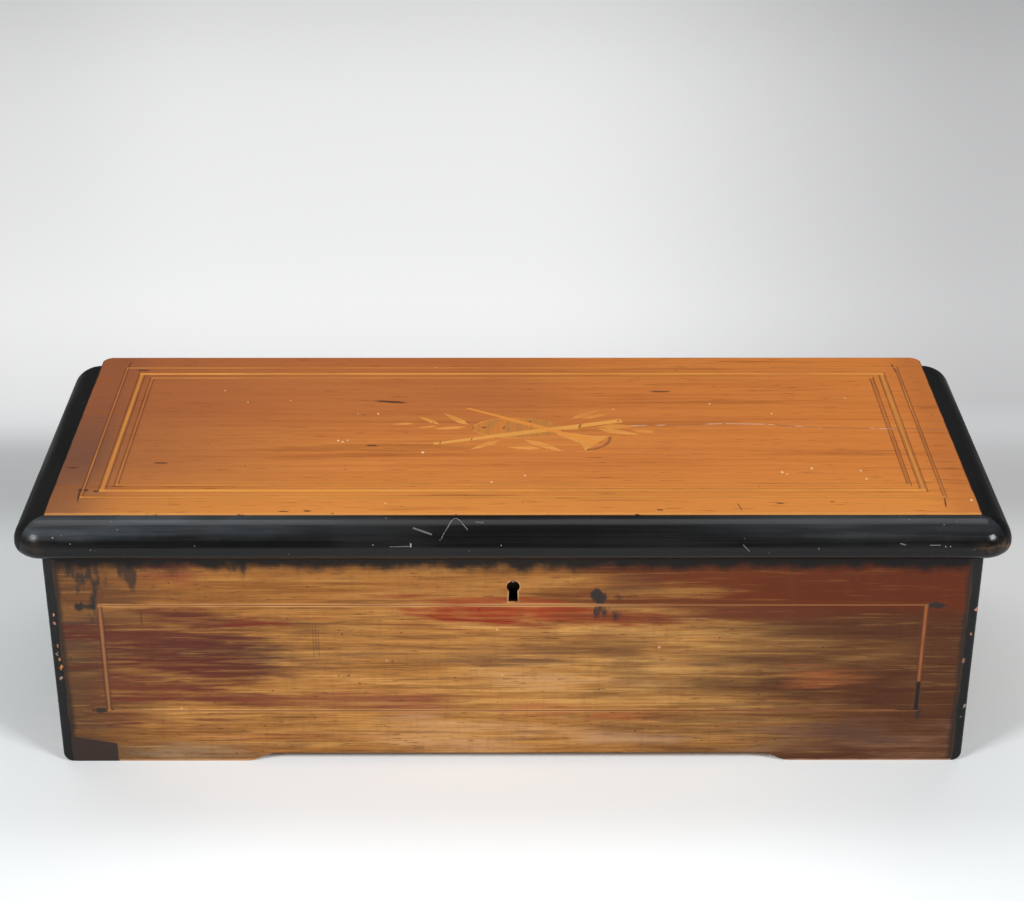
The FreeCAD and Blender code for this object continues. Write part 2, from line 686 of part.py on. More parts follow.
def string_ring(ends, front, back, width):
    """Four strips of one inlaid line on the lid, butted at the corners."""
    x = HALF_W - PANEL_INSET - ends
    y0 = PANEL_INSET + front
    y1 = CASE_D - back
    z0 = LID_TOP - VENEER_T
    strips = []
    for y in (y0, y1 - width):
        strips.append(box(-x, x, y, y + width, z0, LID_TOP))
    for x_left in (-x, x - width):
        strips.append(box(x_left, x_left + width, y0 + width, y1 - width, z0, LID_TOP))
    return strips


def leaf(root, tip):
    """Pointed leaf of six corners, widest before its middle."""
    stations = ((0, 0.0), (0.3, LEAF_FULLNESS), (0.65, LEAF_FULLNESS * 0.8), (1, 0.0))
    a = V(*root, LID_TOP - VENEER_T)
    along = V(*tip, LID_TOP - VENEER_T) - a
    across = V(-along.y, along.x, 0)
    near = [a + along * share + across * half for share, half in stations]
    far = [a + along * share - across * half for share, half in reversed(stations[1:-1])]
    return prism(near + far, V(0, 0, VENEER_T))


def tapered_bar(spine, half_widths):
    """Flat bar along a bent spine, with its own half width at each point of it."""
    points = [V(x, y, LID_TOP - VENEER_T) for x, y in spine]
    near = []
    far = []
    for index, point in enumerate(points):
        along = points[min(index + 1, len(points) - 1)] - points[max(index - 1, 0)]
        across = V(-along.y, along.x, 0).normalize() * half_widths[index]
        near.append(point + across)
        far.append(point - across)
    return prism(near + far[::-1], V(0, 0, VENEER_T))


def lute_body():
    """Oval body with a short neck."""
    z0 = LID_TOP - VENEER_T
    x, y = LUTE_CENTRE
    corners = []
    for step in range(LUTE_CORNERS):
        angle = 2 * math.pi * step / LUTE_CORNERS
        corners.append((x + LUTE_HALF[0] * math.cos(angle), y + LUTE_HALF[1] * math.sin(angle)))
    neck_x = x + LUTE_HALF[0] - 1
    neck = box(neck_x, neck_x + LUTE_NECK_L, y - LUTE_NECK_R, y + LUTE_NECK_R, z0, LID_TOP)
    return joined(prism_z(corners, z0, LID_TOP), neck)


def make_marquetry_shapes():
    """Pipe over horn over lute, each cut away where a nearer one covers it, with leaf sprigs round them."""
    pipe = tapered_bar(PIPE_ENDS, (PIPE_R * 0.8, PIPE_R * 1.3))
    horn = tapered_bar(HORN_SPINE, HORN_HALF_W)
    lute = lute_body().cut([pipe, horn])
    horn = horn.cut(pipe)
    pieces = [pipe] + horn.Solids + lute.Solids
    for root, tip in LEAVES:
        pieces += leaf(root, tip).cut(pieces).Solids
    return pieces


def make_lid():
    rail_x = HALF_W - LEDGE_INSET
    rail = box(-rail_x, rail_x, CASE_D - LEDGE_INSET, CASE_D, LID_Z, LID_Z + LEDGE_H)
    save("lid_back_rail", rail.cut([hinge_leaf(x, LID_Z) for x in (-HINGE_X, HINGE_X)]))
    save("lid_moulding_front", moulding_front())
    save("lid_moulding_left", moulding_side(-1))
    save("lid_moulding_right", moulding_side(1))

    panel_z = LID_Z + LEDGE_H
    veneer_z = LID_TOP - VENEER_T
    save("lid_panel", lid_board(panel_z, veneer_z))
    strings = []
    for ring in LID_STRINGS:
        strings += string_ring(*ring)
    motif = make_marquetry_shapes()
    save("lid_veneer", *lid_board(veneer_z, LID_TOP).cut(strings + motif).Solids)
    save("lid_stringing", *strings)
    save("lid_marquetry", *motif)
    card_y = (CASE_D - CARD_D) / 2
    save("tune_card", box(-CARD_HALF_W, CARD_HALF_W, card_y, card_y + CARD_D, panel_z - CARD_T, panel_z))


# Hinges
def hinge_leaf(x, z):
    return box(x - HINGE_L / 2, x + HINGE_L / 2, CASE_D - HINGE_LEAF_W, CASE_D, z, z + HINGE_LEAF_T)


def knuckled_leaf(x, z, first):
    """Leaf with every second knuckle, from the first one given."""
    leaf_plate = hinge_leaf(x, z)
    pitch = HINGE_L / KNUCKLES
    pieces = []
    for index in range(first, KNUCKLES, 2):
        x0 = x - HINGE_L / 2 + index * pitch + KNUCKLE_GAP / 2
        x1 = x0 + pitch - KNUCKLE_GAP
        pieces.append(box(x0, x1, CASE_D, HINGE_Y, z, z + HINGE_LEAF_T))
        pieces.append(rod_x(HINGE_Y, HINGE_Z, KNUCKLE_R, x0, x1))
    return joined(leaf_plate, *pieces)


def make_hinges():
    """Case leaves that hold the pin, and lid leaves that turn on it."""
    case_leaves = []
    lid_leaves = []
    for x in (-HINGE_X, HINGE_X):
        x0 = x - HINGE_L / 2 + KNUCKLE_GAP
        x1 = x + HINGE_L / 2 - KNUCKLE_GAP
        pin = rod_x(HINGE_Y, HINGE_Z, HINGE_PIN_R, x0, x1)
        case_leaves.append(joined(knuckled_leaf(x, CASE_H - HINGE_LEAF_T, 0), pin))
        bore = rod_x(HINGE_Y, HINGE_Z, HINGE_PIN_R + RUNNING_FIT, x0, x1)
        lid_leaves.append(knuckled_leaf(x, LID_Z, 1).cut(bore))
    save("case_hinge_leaves", *case_leaves)
    save("lid_hinge_leaves", *lid_leaves)


# Inner glass lid
def make_glass_lid():
    x = PARTITION_OUT_X
    y0 = FRONT_IN + GLASS_FRONT_GAP
    y1 = BACK_IN - GLASS_BACK_GAP
    z0 = PARTITION_TOP
    z1 = z0 + GLASS_FRAME_T
    round_r = GLASS_FRAME_T / 2
    axis_y = y1 - round_r
    axis_z = z0 + round_r
    inner_x = x - GLASS_RAIL_W
    inner_y0 = y0 + GLASS_RAIL_W
    inner_y1 = y1 - GLASS_RAIL_W
    pane_z = axis_z - PANE_T / 2
    pane = box(-inner_x - PANE_TONGUE, inner_x + PANE_TONGUE, inner_y0 - PANE_TONGUE, inner_y1 + PANE_TONGUE,
               pane_z, pane_z + PANE_T)
    back_rail = joined(box(-x, x, inner_y1, axis_y, z0, z1), rod_x(axis_y, axis_z, round_r, -x, x))
    sockets = []
    pivots = []
    for side in (-1, 1):
        pin_x = side * (x - GLASS_PIN_L)
        block_x0 = side * (x + GLASS_PIVOT_GAP)
        block_x1 = block_x0 + side * GLASS_PIVOT_T
        low, high = sorted((pin_x, block_x1))
        sockets.append(rod_x(axis_y, axis_z, GLASS_PIN_R + RUNNING_FIT, low, high))
        block_low, block_high = sorted((block_x0, block_x1))
        block = box(block_low, block_high, axis_y - round_r, BACK_IN, z0, z1)
        pivots.append(joined(block, rod_x(axis_y, axis_z, GLASS_PIN_R, low, high)))
    rails = [
        box(-x, x, y0, inner_y0, z0, z1).cut(pane),
        back_rail.cut([pane] + sockets),
        box(-x, -inner_x, inner_y0, inner_y1, z0, z1).cut(pane),
        box(inner_x, x, inner_y0, inner_y1, z0, z1).cut(pane),
    ]
    save("glass_lid_frame", *rails)
    save("glass_pane", pane)
    save("glass_lid_pivots", *pivots)
    knob_y = y0 + GLASS_RAIL_W / 2
    head_h = GLASS_KNOB_H - GLASS_KNOB_HEAD_H
    profile = [(0, 0), (GLASS_KNOB_STEM_R, 0), (GLASS_KNOB_STEM_R, head_h), (GLASS_KNOB_R, head_h)]
    profile += [(GLASS_KNOB_R, GLASS_KNOB_H - GLASS_KNOB_EASE)]
    profile += [(GLASS_KNOB_R - GLASS_KNOB_EASE, GLASS_KNOB_H), (0, GLASS_KNOB_H)]
    half_section = Part.Face(Part.makePolygon([V(r, knob_y, z1 + h) for r, h in profile + profile[:1]]))
    save("glass_lid_knob", half_section.revolve(V(0, knob_y, 0), Z_AXIS, 360))


# Movement: bedplate and what stands on it
def make_bed():
    plate = box(BED_X0, BED_X1, BED_Y0, BED_Y1, BED_Z, BED_TOP)
    feet = []
    for x in (BED_X0, BED_X1 - BED_FOOT_W):
        for y in (BED_Y0, BED_Y1 - BED_FOOT_W):
            feet.append(box(x, x + BED_FOOT_W, y, y + BED_FOOT_W, FLOOR_Z, BED_Z))
    room = tip_radius(BARREL_WHEEL) + RADIAL_ROOM
    half = math.sqrt(room ** 2 - (BARREL_Z - BED_TOP) ** 2)
    slot_x0 = BARREL_WHEEL_X - BED_SLOT_GAP
    slot_x1 = BARREL_WHEEL_X + BARREL_WHEEL_T + BED_SLOT_GAP
    wheel_slot = box(slot_x0, slot_x1, BARREL_Y - half, BARREL_Y + half, BED_Z, BED_TOP)
    save("bedplate", joined(plate, *feet).cut(wheel_slot))


def pillar(x, thickness, y, z, head_r, half_w):
    """Bearing plate that tapers from its foot on the bedplate to a clipped head."""
    clip = head_r * math.tan(math.pi / 8)
    outline = [(y - half_w, BED_TOP), (y + half_w, BED_TOP), (y + head_r, z), (y + head_r, z + clip)]
    outline += [(y + clip, z + head_r), (y - clip, z + head_r), (y - head_r, z + clip), (y - head_r, z)]
    return prism_x(outline, x, x + thickness)


def make_bearings():
    barrel_bore = rod_x(BARREL_Y, BARREL_Z, ARBOR_R + RUNNING_FIT, BED_X0 - 1, BRIDGE_LEFT_X)
    brackets = []
    for x in (BRACKET_LEFT_X, BRACKET_RIGHT_X):
        brackets.append(pillar(x, BRACKET_T, BARREL_Y, BARREL_Z, BRACKET_HEAD_R, BRACKET_HALF_W))
    brackets[0] = joined(brackets[0], click_ear())
    save("barrel_brackets", *[plate.cut(barrel_bore) for plate in brackets])

    bore = rod_x(CYLINDER_Y, CYLINDER_Z, ARBOR_R + RUNNING_FIT, BRIDGE_LEFT_X - 1, ARBOR_X1)
    bridges = []
    for x in (BRIDGE_LEFT_X, BRIDGE_RIGHT_X):
        plate = pillar(x, BRIDGE_T, CYLINDER_Y, CYLINDER_Z, BRIDGE_HEAD_R, BRIDGE_HALF_W)
        flange_x = x + BRIDGE_T
        flange = box(flange_x, flange_x + FLANGE_W, CYLINDER_Y - BRIDGE_HALF_W, CYLINDER_Y + BRIDGE_HALF_W,
                     BED_TOP, BED_TOP + FLANGE_T)
        bridges.append(joined(plate, flange).cut(bore))
    save("cylinder_bridges", *bridges)


def click_ear():
    """Ear of the left bracket that carries the click."""
    y, z = click_pivot()
    reach = CLICK_BOSS_R
    outline = [(BARREL_Y, BARREL_Z + BRACKET_HEAD_R - 1), (BARREL_Y + BRACKET_HEAD_R - 1, BARREL_Z)]
    outline += [(y + reach, z - reach), (y + reach, z + reach), (y - reach, z + reach)]
    return prism_x(outline, BRACKET_LEFT_X, BRACKET_LEFT_X + BRACKET_T)


# Movement: comb
def make_comb():
    """Steel comb with longer bass teeth at the left, on its sloped base."""
    y_back = COMB_Y0 + COMB_BASE_W
    profile = [(COMB_Y0 - BED_FRONT_GAP / 2, BED_TOP), (y_back + COMB_BASE_FOOT, BED_TOP), (y_back, COMB_Z)]
    profile += [(COMB_Y0, COMB_Z)]
    save("comb_base", prism_x(profile, SLEEVE_X0, SLEEVE_X1))

    plate = box(SLEEVE_X0, SLEEVE_X1, COMB_Y0, COMB_TIP_Y, COMB_Z, COMB_TOP)
    teeth = int((SLEEVE_X1 - SLEEVE_X0) / COMB_TEETH_PITCH)
    pitch = (SLEEVE_X1 - SLEEVE_X0) / teeth
    half = COMB_SLOT_W / 2
    slots = []
    for index in range(1, teeth):
        x = SLEEVE_X0 + index * pitch
        length = COMB_TOOTH_BASS + (COMB_TOOTH_TREBLE - COMB_TOOTH_BASS) * index / teeth
        slots.append(box(x - half, x + half, COMB_TIP_Y - length, COMB_TIP_Y, COMB_Z, COMB_TOP))
    save("comb", plate.cut(slots))


# Gears
def involute(angle):
    return math.tan(angle) - angle


def gear_outline(gear, y, z, tooth_at):
    """Teeth with straight flanks inside the involute; the middle of one tooth points at the given angle."""
    teeth, module = gear
    base_r = pitch_radius(gear) * math.cos(PRESSURE)
    root_r = pitch_radius(gear) - DEDENDUM * module
    share = TOOTH_SHARE * math.pi / teeth + involute(PRESSURE)
    points = []
    for tooth in range(teeth):
        middle = tooth_at + tooth * 2 * math.pi / teeth
        for radius, side in ((root_r, -1), (tip_radius(gear), -1), (tip_radius(gear), 1), (root_r, 1)):
            half = share - involute(math.acos(min(1, base_r / radius)))
            points.append(polar(y, z, radius, middle + side * half))
    return points


def gear_disc(gear, y, z, tooth_at, x0, x1):
    return prism_x(gear_outline(gear, y, z, tooth_at), x0, x1)


def gap_towards(gear, angle):
    """Tooth angle that puts the middle of a gap at the given angle."""
    return angle + math.pi / gear[0]


# Movement: spring barrel and winding
def mainspring():
    """Flat spiral strip from near the arbor's core out to the drum's wall."""
    inner = BARREL_CORE_R + SPRING_GAP
    outer = DRUM_R - DRUM_WALL - SPRING_STRIP_T - SPRING_GAP
    steps = SPRING_TURNS * SPRING_STEPS
    low = []
    high = []
    for step in range(steps + 1):
        radius = inner + (outer - inner) * step / steps
        angle = 2 * math.pi * step / SPRING_STEPS
        low.append(polar(BARREL_Y, BARREL_Z, radius, angle))
        high.append(polar(BARREL_Y, BARREL_Z, radius + SPRING_STRIP_T, angle))
    x0 = DRUM_X + DRUM_END_T + RATCHET_GAP
    return prism_x(low + high[::-1], x0, BARREL_WHEEL_X - RATCHET_GAP)


def ratchet_click():
    """Pawl on the left bracket's ear, its nose just over the ratchet's teeth."""
    nose_r = RATCHET_TIP_R + CLICK_NOSE_GAP
    crown_r = CLICK_PIVOT_OUT + CLICK_BOSS_R - 0.5
    places = ((nose_r, 100), (nose_r + 4, 101), (crown_r, 68), (CLICK_PIVOT_OUT, 52), (nose_r + 2.5, 72))
    outline = [polar(BARREL_Y, BARREL_Z, radius, math.radians(angle)) for radius, angle in places]
    pawl = prism_x(outline, RATCHET_X, RATCHET_X + RATCHET_T)
    y, z = click_pivot()
    half = CLICK_BOSS_R / 2
    stud = box(RATCHET_X - RATCHET_GAP, RATCHET_X, y - half, y + half, z - half, z + half)
    return joined(pawl, stud)


def click_pivot():
    return polar(BARREL_Y, BARREL_Z, CLICK_PIVOT_OUT, CLICK_PIVOT_AT)


def ratchet_wheel():
    points = []
    for tooth in range(RATCHET_TEETH):
        angle = tooth * 2 * math.pi / RATCHET_TEETH
        points.append(polar(BARREL_Y, BARREL_Z, RATCHET_ROOT_R, angle))
        points.append(polar(BARREL_Y, BARREL_Z, RATCHET_TIP_R, angle))
    return prism_x(points, RATCHET_X, RATCHET_X + RATCHET_T)


def make_barrel():
    bore = rod_x(BARREL_Y, BARREL_Z, ARBOR_R + RUNNING_FIT, DRUM_X - 1, BARREL_WHEEL_X + BARREL_WHEEL_T + 1)
    drum = rod_x(BARREL_Y, BARREL_Z, DRUM_R, DRUM_X, BARREL_WHEEL_X)
    hollow = rod_x(BARREL_Y, BARREL_Z, DRUM_R - DRUM_WALL, DRUM_X + DRUM_END_T, BARREL_WHEEL_X)
    save("barrel_drum", drum.cut([hollow, bore]))
    line = math.atan2(CYLINDER_Z - BARREL_Z, CYLINDER_Y - BARREL_Y)
    wheel_end = BARREL_WHEEL_X + BARREL_WHEEL_T
    wheel = gear_disc(BARREL_WHEEL, BARREL_Y, BARREL_Z, line, BARREL_WHEEL_X, wheel_end)
    save("barrel_great_wheel", wheel.cut(bore))
    save("mainspring", mainspring())

    lever_x = -PARTITION_OUT_X - LEVER_PARTITION_GAP - LEVER_HUB_T
    arbor = rod_x(BARREL_Y, BARREL_Z, ARBOR_R, lever_x - 2, BRACKET_RIGHT_X + BRACKET_T)
    core_x0 = DRUM_X + DRUM_END_T + RATCHET_GAP
    core = rod_x(BARREL_Y, BARREL_Z, BARREL_CORE_R, core_x0, BARREL_WHEEL_X - RATCHET_GAP)
    arbor = joined(arbor, core)
    save("winding_arbor", arbor)
    save("ratchet_wheel", ratchet_wheel().cut(arbor))
    save("ratchet_click", ratchet_click())

    hub = rod_x(BARREL_Y, BARREL_Z, LEVER_HUB_R, lever_x, lever_x + LEVER_HUB_T)
    arm_x = lever_x + (LEVER_HUB_T - LEVER_ARM_T) / 2
    tip_y = BARREL_Y + LEVER_ARM_L
    root_half = LEVER_ARM_ROOT_W / 2
    tip_half = LEVER_ARM_TIP_W / 2
    outline = [(BARREL_Y, BARREL_Z - root_half), (tip_y, BARREL_Z - tip_half)]
    outline += [(tip_y, BARREL_Z + tip_half), (BARREL_Y, BARREL_Z + root_half)]
    arm = prism_x(outline, arm_x, arm_x + LEVER_ARM_T)
    grip = lever_grip(arm_x + LEVER_ARM_T / 2).cut(arm)
    bore = rod_x(BARREL_Y, BARREL_Z, ARBOR_R + RUNNING_FIT, lever_x - 1, lever_x + LEVER_HUB_T)
    lever = joined(hub, arm).cut(bore)
    save("winding_lever", turned(lever, BARREL_Y, BARREL_Z, LEVER_REST))
    save("winding_grip", turned(grip, BARREL_Y, BARREL_Z, LEVER_REST))


def lever_grip(x):
    """Turned grip along the lever's arm: a collar, a straight barrel and an eased end."""
    barrel_start = GRIP_START + GRIP_COLLAR_L
    profile = [(GRIP_START, 0), (GRIP_START, GRIP_COLLAR_R), (barrel_start, GRIP_COLLAR_R)]
    profile += [(barrel_start, GRIP_R), (LEVER_LENGTH - GRIP_EASE, GRIP_R)]
    profile += [(LEVER_LENGTH, GRIP_R - GRIP_EASE), (LEVER_LENGTH, 0)]
    points = [V(x, BARREL_Y + along, BARREL_Z + radius) for along, radius in profile + profile[:1]]
    return Part.Face(Part.makePolygon(points)).revolve(V(x, BARREL_Y, BARREL_Z), V(0, 1, 0), 360)


# Movement: cylinder
def tune_snail():
    """Stepped cam with a star of ratchet teeth, on the great wheel's inner face."""
    y, z = polar(CYLINDER_Y, CYLINDER_Z, SNAIL_STUD_OUT, math.pi)
    pitch = 2 * math.pi / SNAIL_STEPS
    steps = []
    star = []
    for index in range(SNAIL_STEPS):
        start = index * pitch
        wedge = [(y, z)] + [polar(y, z, SNAIL_R, start + pitch * share) for share in (0, 0.5, 1)]
        thickness = SNAIL_T + SNAIL_STEP * (index + 1)
        steps.append(prism_x(wedge, CYLINDER_WHEEL_X - thickness, CYLINDER_WHEEL_X))
        star.append(polar(y, z, SNAIL_R, start))
        star.append(polar(y, z, SNAIL_TOOTH_R, start + pitch * 0.15))
    return joined(prism_x(star, CYLINDER_WHEEL_X - SNAIL_T, CYLINDER_WHEEL_X), *steps)


def make_cylinder():
    arbor = rod_x(CYLINDER_Y, CYLINDER_Z, ARBOR_R, ARBOR_X0, ARBOR_X1)
    line = math.atan2(BARREL_Z - CYLINDER_Z, BARREL_Y - CYLINDER_Y)
    pinion_end = CYLINDER_PINION_X + CYLINDER_PINION_T
    pinion = gear_disc(CYLINDER_PINION, CYLINDER_Y, CYLINDER_Z, gap_towards(CYLINDER_PINION, line),
                       CYLINDER_PINION_X, pinion_end)
    save("cylinder_arbor", joined(arbor, pinion))

    snail = tune_snail().cut(arbor)
    line = math.atan2(FIRST_Z - CYLINDER_Z, FIRST_Y - CYLINDER_Y)
    wheel_end = CYLINDER_WHEEL_X + CYLINDER_WHEEL_T
    wheel = gear_disc(CYLINDER_WHEEL, CYLINDER_Y, CYLINDER_Z, line, CYLINDER_WHEEL_X, wheel_end).cut(arbor)
    pin_y = CYLINDER_Y + DRIVE_PIN_OUT
    drive_pin = rod_x(pin_y, CYLINDER_Z, DRIVE_PIN_R, SLEEVE_X1 - CAP_T - 1, CYLINDER_WHEEL_X)
    save("cylinder_great_wheel", joined(wheel, drive_pin))
    save("tune_snail", snail)

    inner_r = CYLINDER_R - CYLINDER_WALL
    tube = rod_x(CYLINDER_Y, CYLINDER_Z, CYLINDER_R, SLEEVE_X0, SLEEVE_X1)
    save("cylinder_sleeve", tube.cut(rod_x(CYLINDER_Y, CYLINDER_Z, inner_r, SLEEVE_X0, SLEEVE_X1)))
    bore = rod_x(CYLINDER_Y, CYLINDER_Z, ARBOR_R + RUNNING_FIT, SLEEVE_X0, SLEEVE_X1)
    pin_hole = rod_x(pin_y, CYLINDER_Z, DRIVE_PIN_R + RUNNING_FIT, SLEEVE_X1 - CAP_T, SLEEVE_X1)
    left_cap = rod_x(CYLINDER_Y, CYLINDER_Z, inner_r, SLEEVE_X0, SLEEVE_X0 + CAP_T)
    right_cap = rod_x(CYLINDER_Y, CYLINDER_Z, inner_r, SLEEVE_X1 - CAP_T, SLEEVE_X1)
    save("cylinder_end_caps", left_cap.cut(bore), right_cap.cut([bore, pin_hole]))


# Movement: governor
def make_governor():
    x0 = GOVERNOR_X
    x1 = COCK_RIGHT_X + COCK_T
    y0 = SECOND_Y - COCK_HALF_W / 2
    y1 = FIRST_Y + COCK_HALF_W / 2 + 2
    top = BED_TOP + COCK_TOP
    outline = [(y0, BED_TOP), (y1, BED_TOP), (y1, FIRST_Z)]
    outline += [(SECOND_Y + COCK_TOP_HALF_W, top), (SECOND_Y - COCK_TOP_HALF_W, top), (y0, SECOND_Z)]
    cocks = [prism_x(outline, x, x + COCK_T) for x in (x0, COCK_RIGHT_X)]
    base = box(x0, x1, y0, y1, BED_TOP, FIRST_Z - tip_radius(FIRST_WHEEL) - 0.3)
    step_half = TOP_COCK_W / 2
    step = box(SPINDLE_X - step_half, COCK_RIGHT_X, SPINDLE_Y - step_half, SPINDLE_Y + step_half,
               STEP_TOP - 2.5, STEP_TOP)
    bores = []
    for y, z in ((FIRST_Y, FIRST_Z), (SECOND_Y, SECOND_Z)):
        bores.append(rod_x(y, z, GOVERNOR_ARBOR_R + RUNNING_FIT, x0 - 1, x1 + 1))
    bores.append(rod_z(SPINDLE_X, SPINDLE_Y, PIVOT_R + RUNNING_FIT, STEP_TOP - PIVOT_L, STEP_TOP))
    save("governor_frame", joined(cocks[0], cocks[1], base, step).cut(bores))

    post_y1 = SECOND_Y - tip_radius(WORM_WHEEL) - 1.5
    post_y0 = post_y1 - TOP_COCK_W
    post_x0 = SPINDLE_X - step_half
    post_x1 = SPINDLE_X + step_half
    arm_z1 = TOP_COCK_Z + TOP_COCK_T
    post = box(post_x0, post_x1, post_y0, post_y1, BED_TOP, arm_z1)
    arm = box(post_x0, post_x1, post_y1, SPINDLE_Y, TOP_COCK_Z, arm_z1)
    boss = rod_z(SPINDLE_X, SPINDLE_Y, TOP_COCK_W / 2, TOP_COCK_Z, arm_z1)
    foot = box(post_x0 - TOP_COCK_W, post_x1 + TOP_COCK_W, post_y0, post_y1, BED_TOP, BED_TOP + FLANGE_T)
    pivot_hole = rod_z(SPINDLE_X, SPINDLE_Y, PIVOT_R + RUNNING_FIT, TOP_COCK_Z, TOP_COCK_Z + PIVOT_L)
    save("governor_top_cock", joined(post, arm, boss, foot).cut(pivot_hole))

    line = math.atan2(FIRST_Z - CYLINDER_Z, FIRST_Y - CYLINDER_Y)
    pinion_x = CYLINDER_WHEEL_X - (FIRST_PINION_T - CYLINDER_WHEEL_T) / 2
    arbor = rod_x(FIRST_Y, FIRST_Z, GOVERNOR_ARBOR_R, pinion_x, x1)
    pinion = gear_disc(FIRST_PINION, FIRST_Y, FIRST_Z, gap_towards(FIRST_PINION, line + math.pi),
                       pinion_x, pinion_x + FIRST_PINION_T)
    second_line = math.atan2(SECOND_Z - FIRST_Z, SECOND_Y - FIRST_Y)
    wheel_end = FIRST_WHEEL_X + FIRST_WHEEL_T
    wheel = gear_disc(FIRST_WHEEL, FIRST_Y, FIRST_Z, second_line, FIRST_WHEEL_X, wheel_end)
    save("governor_first_arbor", joined(arbor, pinion, wheel))

    arbor = rod_x(SECOND_Y, SECOND_Z, GOVERNOR_ARBOR_R, x0, x1)
    pinion = gear_disc(SECOND_PINION, SECOND_Y, SECOND_Z, gap_towards(SECOND_PINION, second_line + math.pi),
                       FIRST_WHEEL_X - 0.5, FIRST_WHEEL_X + FIRST_WHEEL_T + 0.5)
    wheel = gear_disc(WORM_WHEEL, SECOND_Y, SECOND_Z, 0, WORM_WHEEL_X, WORM_WHEEL_X + WORM_WHEEL_T)
    save("governor_second_arbor", joined(arbor, pinion, wheel))
    save("governor_fan", governor_fan())


def governor_fan():
    """Upright spindle with the endless screw's core below and two blades above."""
    stem = rod_z(SPINDLE_X, SPINDLE_Y, SPINDLE_R, STEP_TOP + 0.3, TOP_COCK_Z - 0.3)
    pivots = rod_z(SPINDLE_X, SPINDLE_Y, PIVOT_R, STEP_TOP - PIVOT_L + 0.1, TOP_COCK_Z + PIVOT_L - 0.1)
    core = rod_z(SPINDLE_X, SPINDLE_Y, WORM_CORE_R, SECOND_Z - WORM_HALF_L, SECOND_Z + WORM_HALF_L)
    hub_z = FAN_Z + (FAN_H - FAN_HUB_H) / 2
    hub = box(SPINDLE_X - FAN_HUB_R, SPINDLE_X + FAN_HUB_R, SPINDLE_Y - FAN_HUB_R, SPINDLE_Y + FAN_HUB_R,
              hub_z, hub_z + FAN_HUB_H)
    half = FAN_BLADE_T / 2
    blades = []
    for side in (-1, 1):
        low, high = sorted((SPINDLE_Y + side * SPINDLE_R * 0.5, SPINDLE_Y + side * FAN_R))
        blades.append(box(SPINDLE_X - half, SPINDLE_X + half, low, high, FAN_Z, FAN_Z + FAN_H))
    return joined(stem, pivots, core, hub, *blades)


# Movement: control levers
def control_bracket(y):
    """Low stirrup on the bottom board with the lever's pin across it."""
    inner_x0 = CONTROL_X - CONTROL_BRACKET_GAP
    inner_x1 = CONTROL_X + CONTROL_T + CONTROL_BRACKET_GAP
    outer_x0 = inner_x0 - CONTROL_BRACKET_T
    outer_x1 = inner_x1 + CONTROL_BRACKET_T
    half = CONTROL_BRACKET_HALF_W
    base = box(outer_x0, outer_x1, y - half, y + half, FLOOR_Z, FLOOR_Z + CONTROL_BRACKET_T)
    pin = rod_x(y, CONTROL_Z, LEVER_PIN_R, inner_x0, inner_x1)
    head = CONTROL_HUB_R - 1
    top = CONTROL_Z + head
    outline = [(y - half, FLOOR_Z), (y + half, FLOOR_Z), (y + head, CONTROL_Z)]
    outline += [(y + head / 2, top), (y - head / 2, top), (y - head, CONTROL_Z)]
    cheeks = [prism_x(outline, x, x + CONTROL_BRACKET_T) for x in (outer_x0, inner_x1)]
    return joined(base, pin, *cheeks)


def control_lever(y, lean, rod_out, rod_x0, extra=()):
    """Upright lever with a finger tab above and a rod towards the movement, turned to its resting lean."""
    x0 = CONTROL_X
    x1 = CONTROL_X + CONTROL_T
    half = CONTROL_W / 2
    tab = CONTROL_TAB_R
    sides = [(CONTROL_HUB_R / 2, -CONTROL_HUB_R), (CONTROL_HUB_R, 0), (half, 2 * CONTROL_HUB_R)]
    sides += [(half, CONTROL_L - 3 * tab), (tab, CONTROL_L - 2 * tab)]
    sides += [(tab, CONTROL_L - tab / 2), (tab / 2, CONTROL_L)]
    outline = [(y + out, CONTROL_Z + up) for out, up in sides]
    outline += [(y - out, CONTROL_Z + up) for out, up in reversed(sides)]
    rod = rod_x(y, CONTROL_Z + rod_out, CONTROL_ROD_R, rod_x0, x0)
    lever = joined(prism_x(outline, x0, x1), rod, *extra)
    lever = lever.cut(rod_x(y, CONTROL_Z, LEVER_PIN_R + RUNNING_FIT, x0 - 1, x1 + 1))
    return turned(lever, y, CONTROL_Z, lean)


def make_controls():
    save("control_brackets", control_bracket(START_Y), control_bracket(CHANGE_Y))
    stop_x = SPINDLE_X + STOP_ROD_FAN_GAP
    save("start_lever", control_lever(START_Y, CONTROL_LEAN, STOP_ROD_OUT, stop_x))
    rod_z0 = CONTROL_Z + CHANGE_ROD_OUT
    finger = box(CHANGE_FINGER_X, CHANGE_FINGER_X + CHANGE_FINGER_T, CHANGE_Y - CHANGE_FINGER_L, CHANGE_Y,
                 rod_z0 - CONTROL_ROD_R, rod_z0 + CONTROL_ROD_R)
    save("change_lever", control_lever(CHANGE_Y, -CONTROL_LEAN, CHANGE_ROD_OUT, CHANGE_FINGER_X, [finger]))


def main():
    os.makedirs("parts", exist_ok=True)
    make_case()
    make_partitions()
    make_lock()
    make_lid()
    make_hinges()
    make_glass_lid()
    make_bed()
    make_bearings()
    make_comb()
    make_barrel()
    make_cylinder()
    make_governor()
    make_controls()


main()
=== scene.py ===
import math
import random

import bmesh
import bpy
from mathutils import Matrix, Vector

